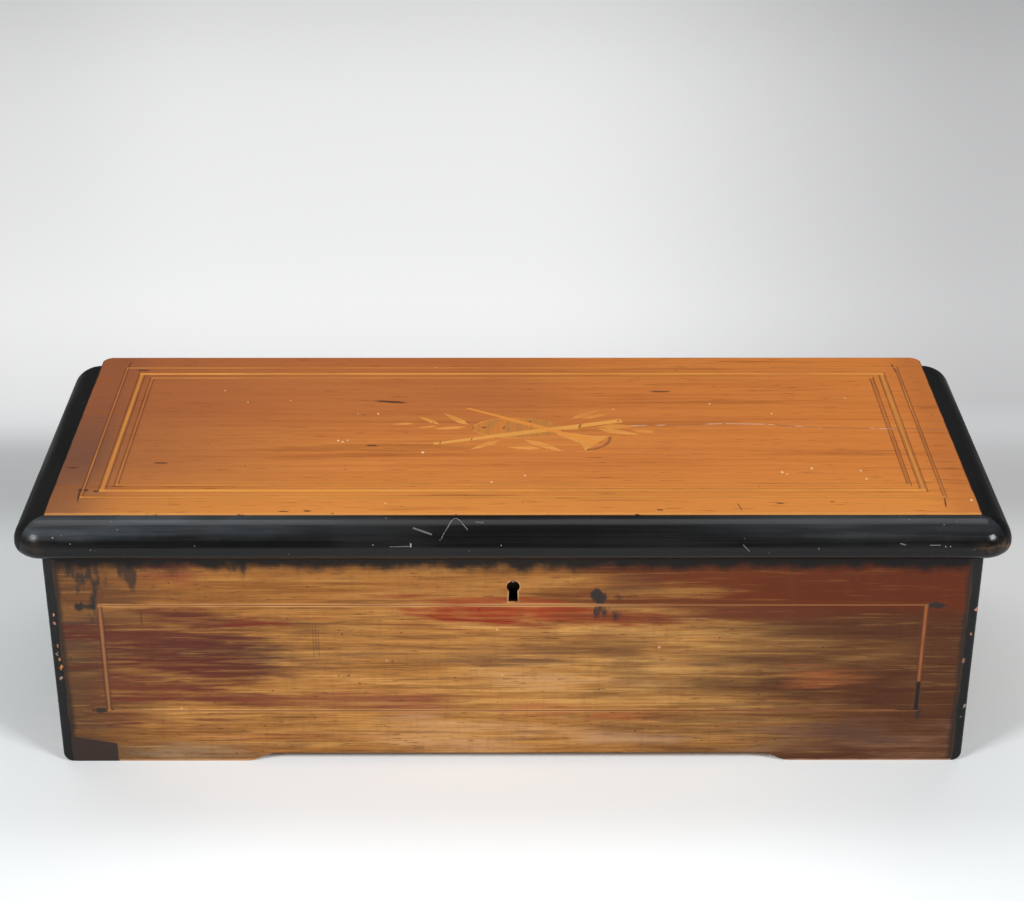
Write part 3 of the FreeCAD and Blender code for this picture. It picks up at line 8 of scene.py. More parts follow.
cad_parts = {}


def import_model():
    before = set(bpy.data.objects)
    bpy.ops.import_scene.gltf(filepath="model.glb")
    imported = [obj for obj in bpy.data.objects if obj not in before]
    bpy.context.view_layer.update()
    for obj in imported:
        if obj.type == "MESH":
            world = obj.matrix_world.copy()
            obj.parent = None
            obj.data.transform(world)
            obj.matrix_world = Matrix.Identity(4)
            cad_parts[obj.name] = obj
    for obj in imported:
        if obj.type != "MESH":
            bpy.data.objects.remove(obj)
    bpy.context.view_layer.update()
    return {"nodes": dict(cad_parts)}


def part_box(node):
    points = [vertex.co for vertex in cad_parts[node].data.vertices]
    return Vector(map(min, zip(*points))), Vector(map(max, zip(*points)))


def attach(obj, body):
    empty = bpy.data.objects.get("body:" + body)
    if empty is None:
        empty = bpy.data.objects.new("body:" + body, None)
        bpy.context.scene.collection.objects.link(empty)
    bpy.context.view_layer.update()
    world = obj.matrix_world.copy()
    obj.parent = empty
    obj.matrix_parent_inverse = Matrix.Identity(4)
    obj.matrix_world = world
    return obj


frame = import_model()
NODES = frame["nodes"]
MM = 0.001
UP = Vector((0, 0, 1))
FORWARD = Vector((0, -1, 0))

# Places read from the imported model, in metres
FRONT_LOW, FRONT_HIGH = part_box("front_veneer")
LID_LOW, LID_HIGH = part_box("lid_veneer")
STRING_LOW, STRING_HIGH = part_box("front_stringing")
CASE_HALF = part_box("back_panel")[1].x
CASE_FRONT = FRONT_LOW.y
CASE_TOP = FRONT_HIGH.z


def case_point(x, y, z=0.0):
    """Millimetres from the case's middle, its front face and the table, as a point in metres."""
    return Vector((x * MM, CASE_FRONT + y * MM, z * MM))


def tone(red, green, blue):
    """A colour as a screen shows it, 0 to 255, as linear light."""
    linear = []
    for part in (red, green, blue):
        share = part / 255
        linear.append(share / 12.92 if share < 0.04045 else ((share + 0.055) / 1.055) ** 2.4)
    return tuple(linear)


# Building materials node by node
class Look:
    """One procedural material, built round the standard shader in the part's own coordinates."""

    def __init__(self, name, **constants):
        self.material = bpy.data.materials.new(name)
        self.material.use_nodes = True
        self.tree = self.material.node_tree
        self.shader = self.tree.nodes["Principled BSDF"]
        self.place = self.node("TexCoord").outputs["Object"]
        self.colour = None
        self.noises = {}
        for socket, value in constants.items():
            self.set(socket.replace("_", " "), value)

    def feed(self, socket, value):
        """Link a socket, or set a plain value."""
        if isinstance(value, bpy.types.NodeSocket):
            self.tree.links.new(value, socket)
        else:
            socket.default_value = value

    def set(self, socket, value):
        self.feed(self.shader.inputs[socket], value)

    def node(self, kind, **inputs):
        """New node with the named inputs linked or set."""
        node = self.tree.nodes.new("ShaderNode" + kind)
        for socket, value in inputs.items():
            self.feed(node.inputs[socket.replace("_", " ")], value)
        return node

    def axes(self):
        return self.node("SeparateXYZ", Vector=self.place).outputs

    def mapped(self, scale, offset=(0, 0, 0)):
        """The part's coordinates scaled by one number, or by one per axis, and then moved."""
        if not isinstance(scale, (tuple, list)):
            scale = (scale,) * 3
        return self.node("Mapping", Vector=self.place, Scale=scale, Location=offset).outputs["Vector"]

    def noise(self, scale, detail=4.0, roughness=0.55, offset=(0, 0, 0)):
        """Noise with a count of cycles per metre, or one count per axis, made once per setting."""
        key = (scale, detail, roughness, offset)
        if key not in self.noises:
            node = self.node("TexNoise", Vector=self.mapped(scale, offset), Scale=1.0,
                             Detail=detail, Roughness=roughness)
            self.noises[key] = node.outputs["Fac"]
        return self.noises[key]

    def cells(self, scale, offset=(0, 0, 0)):
        """Distance to the nearest of scattered points, in cells."""
        node = self.node("TexVoronoi", Vector=self.mapped(scale, offset), Scale=1.0)
        return node.outputs["Distance"]

    def math(self, operation, *values, kind="Math"):
        """Result of one operation, as a number."""
        node = self.node(kind)
        node.operation = operation
        for socket, value in zip(node.inputs, values):
            self.feed(socket, value)
        return node.outputs["Value"]

    def product(self, *values):
        result = values[0]
        for value in values[1:]:
            result = self.math("MULTIPLY", result, value)
        return result

    def total(self, *weighted):
        """Sum of (socket, weight) pairs."""
        result = None
        for socket, weight in weighted:
            part = self.math("MULTIPLY", socket, weight)
            result = part if result is None else self.math("ADD", result, part)
        return result

    def size(self, value):
        """A value without its sign."""
        return self.math("ABSOLUTE", value)

    def distance(self, value, centre):
        """How far a value is from a centre, without sign."""
        return self.size(self.math("SUBTRACT", value, centre))

    def fade(self, value, start, end):
        """0 at start to 1 at end, smoothly, whichever of them is greater."""
        node = self.node("MapRange", Value=value, From_Min=start, From_Max=end)
        node.interpolation_type = "SMOOTHSTEP"
        return node.outputs["Result"]

    def between(self, value, low, high, soft):
        """1 between two limits, 0 beyond them."""
        above = self.fade(value, low - soft, low + soft)
        return self.product(above, self.fade(value, high + soft, high - soft))

    def scaled(self, value, low, high):
        """A 0 to 1 value brought to another range."""
        return self.node("MapRange", Value=value, To_Min=low, To_Max=high).outputs["Result"]

    def uneven(self, value, scale, reach, detail=5.0):
        """A length in metres made ragged by noise, by up to the reach."""
        return self.math("ADD", value, self.scaled(self.noise(scale, detail), -reach, reach))

    def ramp(self, value, *stops):
        """Colour along a row of (place, screen colour) stops."""
        node = self.node("ValToRGB", Fac=value)
        elements = node.color_ramp.elements
        while len(elements) < len(stops):
            elements.new(0.5)
        for element, (place, colour) in zip(elements, stops):
            element.position = place
            element.color = (*tone(*colour), 1.0)
        return node.outputs["Color"]

    def lay(self, colour, mask, tint, strength=1.0):
        """Colour with a tint laid over it where the mask is, both in linear light."""
        node = self.node("Mix")
        node.data_type = "RGBA"
        self.feed(node.inputs["Factor"], mask if strength == 1.0 else self.math("MULTIPLY", mask, strength))
        for socket, value in ((node.inputs[6], colour), (node.inputs[7], tint)):
            self.feed(socket, value if isinstance(value, bpy.types.NodeSocket) else (*value, 1.0))
        return node.outputs[2]

    def base(self, colour):
        self.colour = colour
        self.set("Base Color", colour)

    def paint(self, mask, tint, strength=1.0):
        """Lay a screen colour, or a colour made by nodes, over the base colour where the mask is."""
        linear = tint if isinstance(tint, bpy.types.NodeSocket) else tone(*tint)
        self.base(self.lay(self.colour, mask, linear, strength))

    def grade(self, value, start, end, tint, strength=1.0):
        """Paint that comes in as a value goes from start to end."""
        self.paint(self.fade(value, start, end), tint, strength)

    def blob(self, centre, radii, ragged=0.35, soft=0.5, grain=30):
        """Soft patch with an uneven edge, 1 at the centre and 0 outside the radii."""
        scale = [1 / r for r in radii]
        offset = [-c / r for c, r in zip(centre, radii)]
        reach = self.math("LENGTH", self.mapped(scale, offset), kind="VectorMath")
        return self.fade(self.uneven(reach, grain, ragged), 1.0, 1.0 - soft)

    def stroke(self, start, end, width, normal=UP, taper=0.5, ragged=0.0, grain=300):
        """Thin straight mark between two points of a face with the given normal."""
        along = end - start
        across = normal.cross(along)
        masks = []
        for way, reach, share in ((along, along.length / 2, taper), (across, width / 2, 0.6)):
            from_middle = self.mapped(1, [-c for c in (start + end) / 2])
            off = self.math("DOT_PRODUCT", from_middle, way.normalized(), kind="VectorMath")
            off = self.size(off)
            if ragged:
                off = self.uneven(off, grain, ragged * reach, 3.0)
            masks.append(self.fade(off, reach, reach * (1 - share)))
        return self.product(*masks)

    def path(self, points, width, normal=UP, ragged=0.0, grain=300):
        """Thin mark along a row of points."""
        mask = None
        for start, end in zip(points, points[1:]):
            part = self.stroke(start, end, width, normal, 0.05, ragged, grain)
            mask = part if mask is None else self.math("MAXIMUM", mask, part)
        return mask

    def bump(self, height, distance, strength=1.0):
        node = self.node("Bump", Height=height, Distance=distance, Strength=strength)
        self.set("Normal", node.outputs["Normal"])

    def worn_edges(self, low, high, reach):
        """Mask along the edges of a box-shaped board: where two of its faces are near."""
        gaps = []
        for value, start, end in zip(self.axes(), low, high):
            gaps.append(self.math("SUBTRACT", (end - start) / 2, self.distance(value, (start + end) / 2)))
        nearest = self.math("MINIMUM", self.math("MINIMUM", gaps[0], gaps[1]), gaps[2])
        farthest = self.math("MAXIMUM", self.math("MAXIMUM", gaps[0], gaps[1]), gaps[2])
        second = self.math("SUBTRACT", self.total(*((gap, 1.0) for gap in gaps)), nearest)
        second = self.math("SUBTRACT", second, farthest)
        return self.fade(self.uneven(second, 70, reach), reach, 0.0)


def along_grain(axis, long_count, fine_count):
    """Counts per metre with the slow one along the grain."""
    return tuple(long_count if index == axis else fine_count for index in range(3))


RUBBED = (140, 98, 66)
RUBBED_REACH = 1.6 * MM


def wood(name, dark, middle, light, axis=0, streak=170, run=5, worn=None):
    """Veneer or board: broad tone, long streaks and fine fibres along one axis, and a worn node's edges."""
    look = Look(name, Specular_IOR_Level=0.2)
    broad = look.noise(along_grain(axis, 3, 14), 3)
    streaks = look.noise(along_grain(axis, run, streak), 6, 0.65)
    fibres = look.noise(along_grain(axis, 34, 1500), 3, 0.6)
    depth = look.total((broad, 0.35), (streaks, 0.4), (fibres, 0.25))
    look.base(look.ramp(depth, (0.38, dark), (0.5, middle), (0.6, light)))
    if worn:
        look.paint(look.worn_edges(*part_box(worn), RUBBED_REACH), RUBBED, 0.75)
    look.set("Roughness", look.scaled(streaks, 0.36, 0.5))
    look.bump(look.total((fibres, 0.7), (streaks, 0.3)), 0.00012, 0.5)
    return look


def stained_ends(look):
    """The same board with the dark stain of the case's ends on its end grain."""
    half = look.size(look.axes()["X"])
    look.grade(half, CASE_HALF - 0.8 * MM, CASE_HALF - 0.4 * MM, (62, 42, 31), 0.92)
    return look


def metal(name, dark, light, roughness=(0.22, 0.4), brushed=900, tarnish=None):
    """Worked metal: fine tool lines along one axis, cloudy tone, and tarnish where given."""
    look = Look(name, Metallic=1)
    cloud = look.noise(40, 5)
    lines = look.noise(brushed, 3)
    depth = look.total((cloud, 0.7), (lines, 0.3))
    look.base(look.ramp(depth, (0.32, dark), (0.62, light)))
    if tarnish:
        look.paint(look.fade(look.noise(120, 6, 0.7), 0.56, 0.7), tarnish)
    look.set("Roughness", look.scaled(depth, *roughness))
    look.bump(lines, 0.00004, 0.5)
    return look


# Lid veneer: honey-coloured, with dark lines beside its strings, dashes, specks, a crack and worn edges
LID_RINGS = (
    # inset at the ends, at the front and at the back, width of the string, dark lines off its middle (mm)
    (15, 18.1, 13.6, 0.9, 0.8),
    (23.9, 24.3, 20.8, 2.5, 1.8),
    (31.2, 31.2, 27.2, 0.9, 1),
)
LID_DASHES = (
    # start, end, width (mm from the case's middle and front face)
    ((-80, 134.6), (-57, 131.8), 3.4),
    ((-190, 59.5), (-181.5, 59.1), 1.9),
    ((-79.5, 79.5), (-71.5, 79.4), 2.4),
    ((-236, 54), (-227, 53.9), 1.8),
    ((77, 146), (91, 146.5), 2),
    ((-120, 6), (-112.5, 6.1), 1.6),
    ((-107, 6.6), (-102, 6.2), 2.2),
    ((72.5, 7.6), (76.5, 7.2), 1.8),
    ((133.5, 14.4), (139, 14.3), 2),
    ((114.2, 16), (116.3, 4.8), 0.7),
    ((161.5, 16.2), (164.5, 16), 1.4),
    ((-222.2, 14), (-223.6, 31), 1.2),
    ((-224.5, 29), (-218.5, 28.8), 3.4),
    ((-216.5, 27.6), (-213.5, 27.9), 2.6),
    ((-209, 33.2), (-200, 33), 1),
    ((-220.6, 188), (-221.4, 176), 1),
    ((-216.5, 174.8), (-208, 174.6), 2.2),
    ((219.8, 186), (220.6, 172), 1.2),
    ((220.1, 9.5), (221.3, 22), 1.1),
)
LID_NICKS = (
    # places of small pale nicks and their radius (mm)
    (-94, 85.2, 0.9), (-91.5, 83.8, 0.8), (-89, 85.6, 0.6), (-48, 71.4, 1.1), (-74.2, 118, 0.8),
    (-85, 118, 0.6), (-162, 147.7, 0.6), (-147.5, 132.9, 0.6), (-124, 135, 0.5), (-43.9, 178.2, 0.7),
    (-11.2, 37.6, 0.8), (-65.2, 14.6, 0.6), (141.2, 48.4, 1), (143.5, 46.5, 0.6), (157.2, 52.8, 0.9),
    (182.6, 50.2, 0.8), (184.3, 41, 0.8), (186.7, 137.7, 0.6), (143.3, 118.2, 0.7), (56, 123.6, 0.6),
    (6.3, 44.9, 0.7), (110, 130.6, 0.7), (234.5, 17.8, 0.9),
)
LID_CRACK = (
    # points along it (mm)
    (51.5, 103.3), (74.7, 103.3), (116, 105.7), (139.1, 104.9),
    (160.2, 101.6), (188.5, 100), (211.5, 99.2), (236.5, 98),
)


def lid_mark(look, mark, taper, ragged=0, grain=300):
    """Straight mark on the lid from its start, end and width in millimetres."""
    start, end, width = mark
    return look.stroke(case_point(*start), case_point(*end), width * MM, UP, taper, ragged, grain)


def ring_lines(look, x, y, ring):
    """Dark hairlines on both sides of one inlaid ring, stronger along the ends than the front and back."""
    end_inset, front_inset, back_inset, width, off_middle = (size * MM for size in ring)
    front = LID_LOW.y + front_inset + width / 2
    back = LID_HIGH.y - back_inset - width / 2
    half_x = LID_HIGH.x - end_inset - width / 2
    over_x = look.math("SUBTRACT", look.size(x), half_x)
    over_y = look.math("SUBTRACT", look.distance(y, (front + back) / 2), (back - front) / 2)
    outside = look.math("MAXIMUM", over_x, over_y)
    off_line = look.distance(look.size(outside), off_middle)
    off_line = look.uneven(off_line, 70, 0.25 * MM, 4)
    at_ends = look.fade(look.math("SUBTRACT", over_x, over_y), -0.001, 0.001)
    patchy = look.scaled(look.noise(20, offset=(1, 4, 8)), 0.4, 1.2)
    line = look.fade(off_line, 0.5 * MM, 0.2 * MM)
    return look.product(line, look.scaled(at_ends, 0.3, 0.8), patchy)


def lid_veneer():
    look = wood("lid_veneer", (178, 99, 42), (198, 117, 50), (210, 131, 58), streak=240)
    x, y, _ = look.axes()
    look.grade(x, -0.06, -0.24, (147, 87, 50), 0.8)
    look.grade(x, -0.2, -0.226, (92, 62, 52), 0.7)
    behind = look.product(look.fade(y, -0.02, 0.06), look.fade(x, 0.06, -0.02))
    look.paint(behind, (164, 90, 48), 0.55)
    look.grade(x, 0, 0.2, (206, 120, 46), 0.5)
    front_band = look.product(look.fade(y, LID_LOW.y + 0.06, LID_LOW.y + 0.004), look.fade(x, -0.27, -0.16))
    look.paint(front_band, (213, 136, 56), 0.65)
    look.grade(x, 0.212, 0.232, (166, 92, 44), 0.45)
    bands = look.noise((5, 120, 120), 5, 0.7, (3, 0, 1))
    look.grade(bands, 0.54, 0.68, (150, 82, 28), 0.6)
    dashes = look.noise((55, 800, 800), 3, 0.55, (3, 9, 1))
    look.grade(dashes, 0.6, 0.72, (100, 50, 18), 0.6)
    for ring in LID_RINGS:
        look.paint(ring_lines(look, x, y, ring), (92, 44, 24))
    for dash in LID_DASHES:
        look.paint(lid_mark(look, dash, 0.6, 0.45, (70, 500, 500)), (70, 40, 26), 0.9)
    crack = look.path([case_point(*point) for point in LID_CRACK], 1.1 * MM, UP, 0.3, (60, 700, 700))
    look.paint(crack, (140, 92, 70), 0.75)
    bare = look.product(crack, look.fade(look.noise(45), 0.44, 0.52))
    look.paint(bare, (206, 180, 160), 0.85)
    paint_horn_rim(look)
    for at_x, at_y, radius in LID_NICKS:
        nick = look.blob(case_point(at_x, at_y), (radius * MM, radius * 1.6 * MM, 1), 0.3, 0.6, 900)
        look.paint(nick, (238, 204, 158), 0.85)
    specks = look.cells(85)
    look.grade(specks, 0.055, 0.025, (84, 44, 26), 0.7)
    front_edge = look.uneven(y, 90, MM)
    look.grade(front_edge, LID_LOW.y + 0.0022, LID_LOW.y + 0.0006, (222, 156, 84), 0.6)
    end_edge = look.uneven(look.size(x), 60, 0.9 * MM)
    notches = look.fade(end_edge, LID_HIGH.x - 0.0006, LID_HIGH.x - 0.0001)
    chips = look.fade(look.noise(160, 4, 0.55, (7, 1, 2)), 0.64, 0.7)
    chips = look.product(chips, look.fade(front_edge, LID_LOW.y + 0.002, LID_LOW.y + 0.001))
    look.paint(look.math("MAXIMUM", notches, chips), (58, 38, 28), 0.9)
    return look


def lid_string():
    """Yellow inlaid string, dulled along stretches; the end strings have darkened to the veneer's colour."""
    look = wood("lid_string", (198, 124, 48), (216, 142, 58), (228, 156, 70))
    x, y, _ = look.axes()
    half = look.size(x)
    for end_inset, front_inset, back_inset, width, _ in LID_RINGS:
        across = look.distance(half, LID_HIGH.x - (end_inset + width / 2) * MM)
        across = look.uneven(across, 25, 0.8 * MM)
        front_end = LID_LOW.y + (front_inset + width + 0.3) * MM
        back_end = LID_HIGH.y - (back_inset + width + 0.3) * MM
        run = look.between(y, front_end, back_end, 0.2 * MM)
        for reach, tint in ((width / 2 + 1, (162, 95, 42)), (width / 2 - 0.4, (204, 136, 56))):
            near = look.fade(across, reach * MM, (reach - 0.3) * MM)
            look.paint(look.product(near, run), tint, 0.9)
    grime = look.noise(22, 5)
    look.grade(grime, 0.48, 0.68, (190, 118, 56), 0.6)
    return look


# Marquetry: crossed pipe and horn over a lute, in millimetres from the case's middle and front face
LUTE_CENTRE = (3, 100.5)
LUTE_RADII = (26 * MM, 12.5 * MM, 1)
RAYS_PER_METRE = 190
PIPE = ((-43.5, 81.2), (61, 109.8), 6.5)
HORN = ((-27, 126.2), (52, 79.5), 5.4)
HORN_RIM = ((39.6, 74.6), (44, 75.2), (48.5, 78.2), (51.8, 83.5), (53, 90))
MARQUETRY_CUTS = (
    # start, end, width (mm)
    ((-17.5, 100.8), (-13.5, 101.3), 2.6),
    ((-5.2, 98.6), (-4.2, 103.2), 1.2),
    ((8.8, 107.2), (10.2, 109.2), 1.6),
    ((36, 99), (37.6, 106.5), 1.6),
    ((14, 87.5), (22.5, 91.5), 1),
    ((-39.4, 80.6), (-38.6, 84.6), 0.9),
    ((-22.8, 84.8), (-21.6, 89.2), 0.9),
    ((57.6, 106.6), (58.4, 111.2), 0.9),
    ((-21.8, 96), (-21.4, 103.5), 1),
    ((0.5, 113), (11, 117.5), 0.9),
    ((26, 95.5), (33, 97.5), 0.9),
)


def paint_horn_rim(look):
    """Curved dark rim round the mouth of the horn."""
    rim = look.path([case_point(*point) for point in HORN_RIM], 2.6 * MM, UP, 0.2)
    look.paint(rim, (140, 80, 44), 0.8)


def marquetry():
    """Inlay of several woods: yellow pipe and leaves, orange horn, greenish lute, with dark saw lines."""
    look = wood("lid_marquetry", (196, 120, 52), (216, 142, 64), (226, 156, 76))
    x = look.axes()["X"]
    lute = look.blob(case_point(*LUTE_CENTRE), LUTE_RADII, 0.05, 0.1)
    stripe = look.noise((160, 30, 30), 3)
    look.paint(lute, look.ramp(stripe, (0.4, (182, 118, 54)), (0.6, (204, 122, 50))))
    across = look.math("FRACT", look.math("MULTIPLY", x, RAYS_PER_METRE))
    rays = look.fade(look.distance(across, 0.5), 0.1, 0.04)
    look.paint(look.product(lute, rays), (140, 88, 46), 0.25)
    look.paint(lid_mark(look, PIPE, 0.05), (224, 156, 70), 0.8)
    look.paint(lid_mark(look, HORN, 0.05), (222, 138, 54), 0.9)
    paint_horn_rim(look)
    for cut in MARQUETRY_CUTS:
        look.paint(lid_mark(look, cut, 0.6, 0.4), (104, 60, 40), 0.85)
    marks = look.cells(120)
    look.grade(marks, 0.13, 0.07, (112, 64, 34), 0.6)
    return look


# Front veneer: olive brown to gold in long streaks, red stains, dark ends, ink, a dark repair at one foot,
# and a painted shadow under the lid
FRONT_STAINS = (
    # x from, x to, z from, z to (mm), colour, strength
    (-258, -204, 20, 124, (70, 50, 38), 0.8),
    (110, 280, -8, 30, (130, 93, 68), 0.8),
    (-222, -146, 58, 90, (98, 48, 30), 0.85),
    (-222, -84, 55, 78, (72, 45, 33), 0.95),
    (-230, -122, 36, 84, (86, 33, 22), 0.9),
    (-224, -150, 26, 54, (104, 48, 30), 0.9),
    (-116, -30, 31, 45.5, (130, 68, 42), 0.8),
    (-200, -152, 104, 123, (122, 52, 32), 0.85),
    (-84, 76, 79, 98, (128, 26, 0), 1),
    (-52, 76, 88, 98, (146, 52, 14), 0.85),
    (20, 236, 85, 96, (92, 44, 20), 0.8),
    (-92, 120, 58.5, 69, (104, 70, 44), 0.85),
    (-150, -74, 10.5, 20.5, (172, 100, 58), 0.6),
    (-194, -138, 0, 12, (142, 120, 92), 0.6),
    (-8, 36, 25, 40, (168, 92, 54), 0.6),
    (34, 76, 24.5, 30.5, (176, 84, 46), 0.8),
    (36, 106, 7.5, 20, (122, 90, 70), 0.7),
    (156, 212, 8.5, 27.5, (84, 60, 49), 0.8),
    (138, 184, 46.5, 59, (160, 92, 46), 0.75),
    (46, 124, 99.8, 107, (184, 132, 66), 0.7),
    (46, 74, 103, 115, (84, 52, 32), 0.6),
    (-30, 60, 44, 60, (188, 140, 92), 0.6),
    (-120, 60, 1, 26, (194, 146, 100), 0.6),
    (-90, 10, 66, 84, (190, 132, 66), 0.5),
)
FRONT_INK = (
    # x from, x to, z from, z to (mm), strength
    (-229, -209, 106, 122, 0.85),
    (-219, -210, 94.5, 113, 0.85),
    (-224.5, -211.5, 94.6, 98, 0.95),
    (-204, -188.5, 104, 122, 0.8),
    (-146.5, -138, 113.5, 124, 0.8),
    (37, 51, 99.2, 104.8, 0.95),
    (41.5, 52.5, 88, 97.2, 0.95),
    (49, 60, 99.6, 104, 0.55),
    (211.6, 217, 23.5, 33.5, 0.7),
    (212.5, 225, 95.6, 98.2, 0.95),
    (-222, -211, 31.4, 33.8, 0.9),
)
FRONT_TICKS = (
    # x, z from, z to, width (mm), strength
    (-103.7, 62, 86, 0.9, 0.4),
    (-102.3, 66, 87, 0.9, 0.45),
    (-101, 63, 84, 0.9, 0.4),
    (-192, 84, 94.5, 1.4, 0.6),
    (139.3, 47, 51, 1.2, 0.8),
)
STAIN_SPREAD = 1.25
PATCH_RIGHT = -210.6 * MM
PATCH_TOP_LEFT = 16.6 * MM
PATCH_SLOPE = -5.3 / 29


def front_patch(look, limits, *edge):
    """Ragged patch of the front between x and z limits in millimetres."""
    x0, x1, z0, z1 = limits
    centre = case_point((x0 + x1) / 2, 0, (z0 + z1) / 2)
    radii = ((x1 - x0) / 2 * STAIN_SPREAD * MM, 1, (z1 - z0) / 2 * STAIN_SPREAD * MM)
    return look.blob(centre, radii, *edge)


def front_veneer():
    look = wood("front_veneer", (116, 70, 28), (170, 114, 54), (204, 152, 84), streak=330, run=15)
    x, _, z = look.axes()
    bands = look.noise((6, 6, 190), 5, 0.7, (2, 0, 5))
    look.grade(bands, 0.52, 0.66, (106, 64, 30), 0.65)
    look.grade(bands, 0.45, 0.33, (198, 146, 80), 0.6)
    clouds = look.noise((11, 11, 45), 6, 0.62, (8, 3, 1))
    look.grade(clouds, 0.5, 0.64, (98, 64, 32), 0.5)
    look.grade(clouds, 0.46, 0.34, (196, 142, 76), 0.3)
    look.grade(z, 0.085, 0.108, (138, 80, 24), 0.6)
    to_right = look.uneven(x, (9, 9, 120), 0.16, 5)
    look.grade(to_right, 0, 0.2, (58, 25, 9), 0.9)
    top_right = look.product(look.fade(to_right, 0, 0.1), look.fade(z, 0.09, 0.1))
    look.paint(top_right, (92, 36, 2), 0.85)
    to_left = look.uneven(x, (9, 9, 120), 0.06, 5)
    look.grade(to_left, -0.15, -0.225, (80, 46, 26), 0.75)
    streaky = look.fade(look.noise((11, 11, 420), 4, 0.6, (5, 1, 9)), 0.36, 0.6)
    streaky = look.scaled(streaky, 0.45, 1.1)
    for *limits, tint, strength in FRONT_STAINS:
        stain = front_patch(look, limits, 2, 0.95, (16, 16, 120))
        look.paint(look.product(stain, streaky), tint, strength)
    fine = look.noise((26, 26, 700), 4, 0.6, (1, 2, 3))
    look.grade(fine, 0.54, 0.68, (84, 48, 22), 0.45)
    look.grade(fine, 0.45, 0.32, (206, 152, 82), 0.2)
    look.grade(x, 0.08, 0.19, (70, 20, 4), 0.3)
    glaze = look.product(look.fade(x, 0.03, 0.12), look.fade(z, 0.085, 0.1))
    look.paint(glaze, (96, 34, 0), 0.42)
    dashes = look.noise((110, 110, 800), 3, 0.55, (6, 2, 4))
    look.grade(dashes, 0.6, 0.72, (66, 38, 22), 0.6)
    ripple = look.noise((300, 300, 60), 3, 0.5, (1, 7, 3))
    look.grade(ripple, 0.52, 0.7, (96, 60, 30), 0.12)
    for *limits, strength in FRONT_INK:
        look.paint(front_patch(look, limits, 2.4, 0.8, (150, 150, 60)), (38, 34, 32), strength)
    for at_x, z0, z1, width, strength in FRONT_TICKS:
        tick = look.stroke(case_point(at_x, 0, z0), case_point(at_x, 0, z1), width * MM, FORWARD)
        look.paint(tick, (72, 40, 28), strength)
    # Painted shadow: a near-black band with a ragged edge just under the lid, where its overhang shades the
    # front
    lid_shadow = look.uneven(z, 90, 6 * MM)
    look.grade(lid_shadow, CASE_TOP - 0.0095, CASE_TOP - 0.002, (14, 11, 9), 0.97)
    front_string_lines(look, x, z)
    half = look.uneven(look.size(x), (50, 50, 120), 2 * MM)
    look.grade(half, FRONT_HIGH.x - 0.0035, FRONT_HIGH.x - 0.0005, (44, 32, 26), 0.9)
    slope = look.math("MULTIPLY", look.math("ADD", x, CASE_HALF), PATCH_SLOPE)
    above = look.uneven(look.math("SUBTRACT", z, slope), 80, 0.7 * MM)
    patch = look.product(look.fade(x, PATCH_RIGHT + 0.0005, PATCH_RIGHT - 0.0005),
                         look.fade(above, PATCH_TOP_LEFT + 0.0005, PATCH_TOP_LEFT - 0.0005))
    look.paint(patch, (50, 38, 35), 0.97)
    specks = look.cells(100)
    look.grade(specks, 0.075, 0.035, (62, 38, 26), 0.7)
    nicks = look.cells(42, (2, 3, 4))
    look.grade(nicks, 0.04, 0.02, (206, 164, 118), 0.7)
    foot = look.fade(look.uneven(z, 120, 0.4 * MM), 1.1 * MM, 0.5 * MM)
    foot = look.product(foot, look.fade(x, PATCH_RIGHT, PATCH_RIGHT + 0.001))
    look.paint(foot, (196, 160, 132), 0.6)
    return look


def front_string_lines(look, x, z):
    """Pale lines above and below the front's level strings and dark ones beside its upright strings."""
    within = look.fade(look.size(x), STRING_HIGH.x, STRING_HIGH.x - 0.001)
    for level in (STRING_LOW.z + 0.5 * MM, STRING_HIGH.z - 0.5 * MM):
        off = look.distance(look.distance(z, level), 0.75 * MM)
        pale = look.product(look.fade(off, 0.35 * MM, 0.15 * MM), within)
        patchy = look.fade(look.noise(14, 4), 0.34, 0.6)
        left_half = look.fade(x, 0.09, 0)
        look.paint(look.product(pale, patchy, left_half), (200, 146, 88), 0.8)
    off = look.distance(look.size(x), STRING_HIGH.x - MM)
    side = look.fade(look.uneven(off, 60, 0.8 * MM), 2.2 * MM, 1.2 * MM)
    inside = look.between(z, STRING_LOW.z, STRING_HIGH.z, 0.5 * MM)
    look.paint(look.product(side, inside), (78, 48, 32), 0.7)


def front_string():
    """Pale inlaid string with a dark line down its middle; the lower part of the right upright is lost."""
    look = wood("front_string", (138, 90, 52), (160, 106, 62), (178, 124, 76))
    x, _, z = look.axes()
    right = look.fade(x, 0.2, 0.205)
    low, high = STRING_LOW.z + 0.5 * MM, STRING_HIGH.z - 0.5 * MM
    level = look.math("MINIMUM", look.distance(z, low), look.distance(z, high))
    look.grade(x, 0.02, 0.12, (130, 74, 36), 0.8)
    patchy = look.scaled(look.noise(9), 0.3, 1.2)
    line = look.product(look.fade(level, 0.3 * MM, 0.15 * MM), patchy)
    look.paint(line, (92, 56, 36), 0.85)
    middle = look.between(z, low + MM, high - MM, 0.3 * MM)
    look.paint(look.product(right, middle), (150, 80, 38), 0.85)
    left = look.fade(x, -0.2, -0.205)
    look.paint(look.product(left, middle), (136, 84, 50), 0.8)
    off = look.distance(look.size(x), STRING_HIGH.x - MM)
    off = look.uneven(off, 60, 0.6 * MM)
    edges = look.product(look.fade(off, 0.4 * MM, 0.75 * MM), look.fade(level, 0.6 * MM, MM))
    look.paint(edges, (92, 58, 34), 0.8)
    lost = look.product(right, look.between(z, 32 * MM, 50 * MM, 0.4 * MM))
    look.paint(lost, (26, 19, 16), 0.97)
    return look


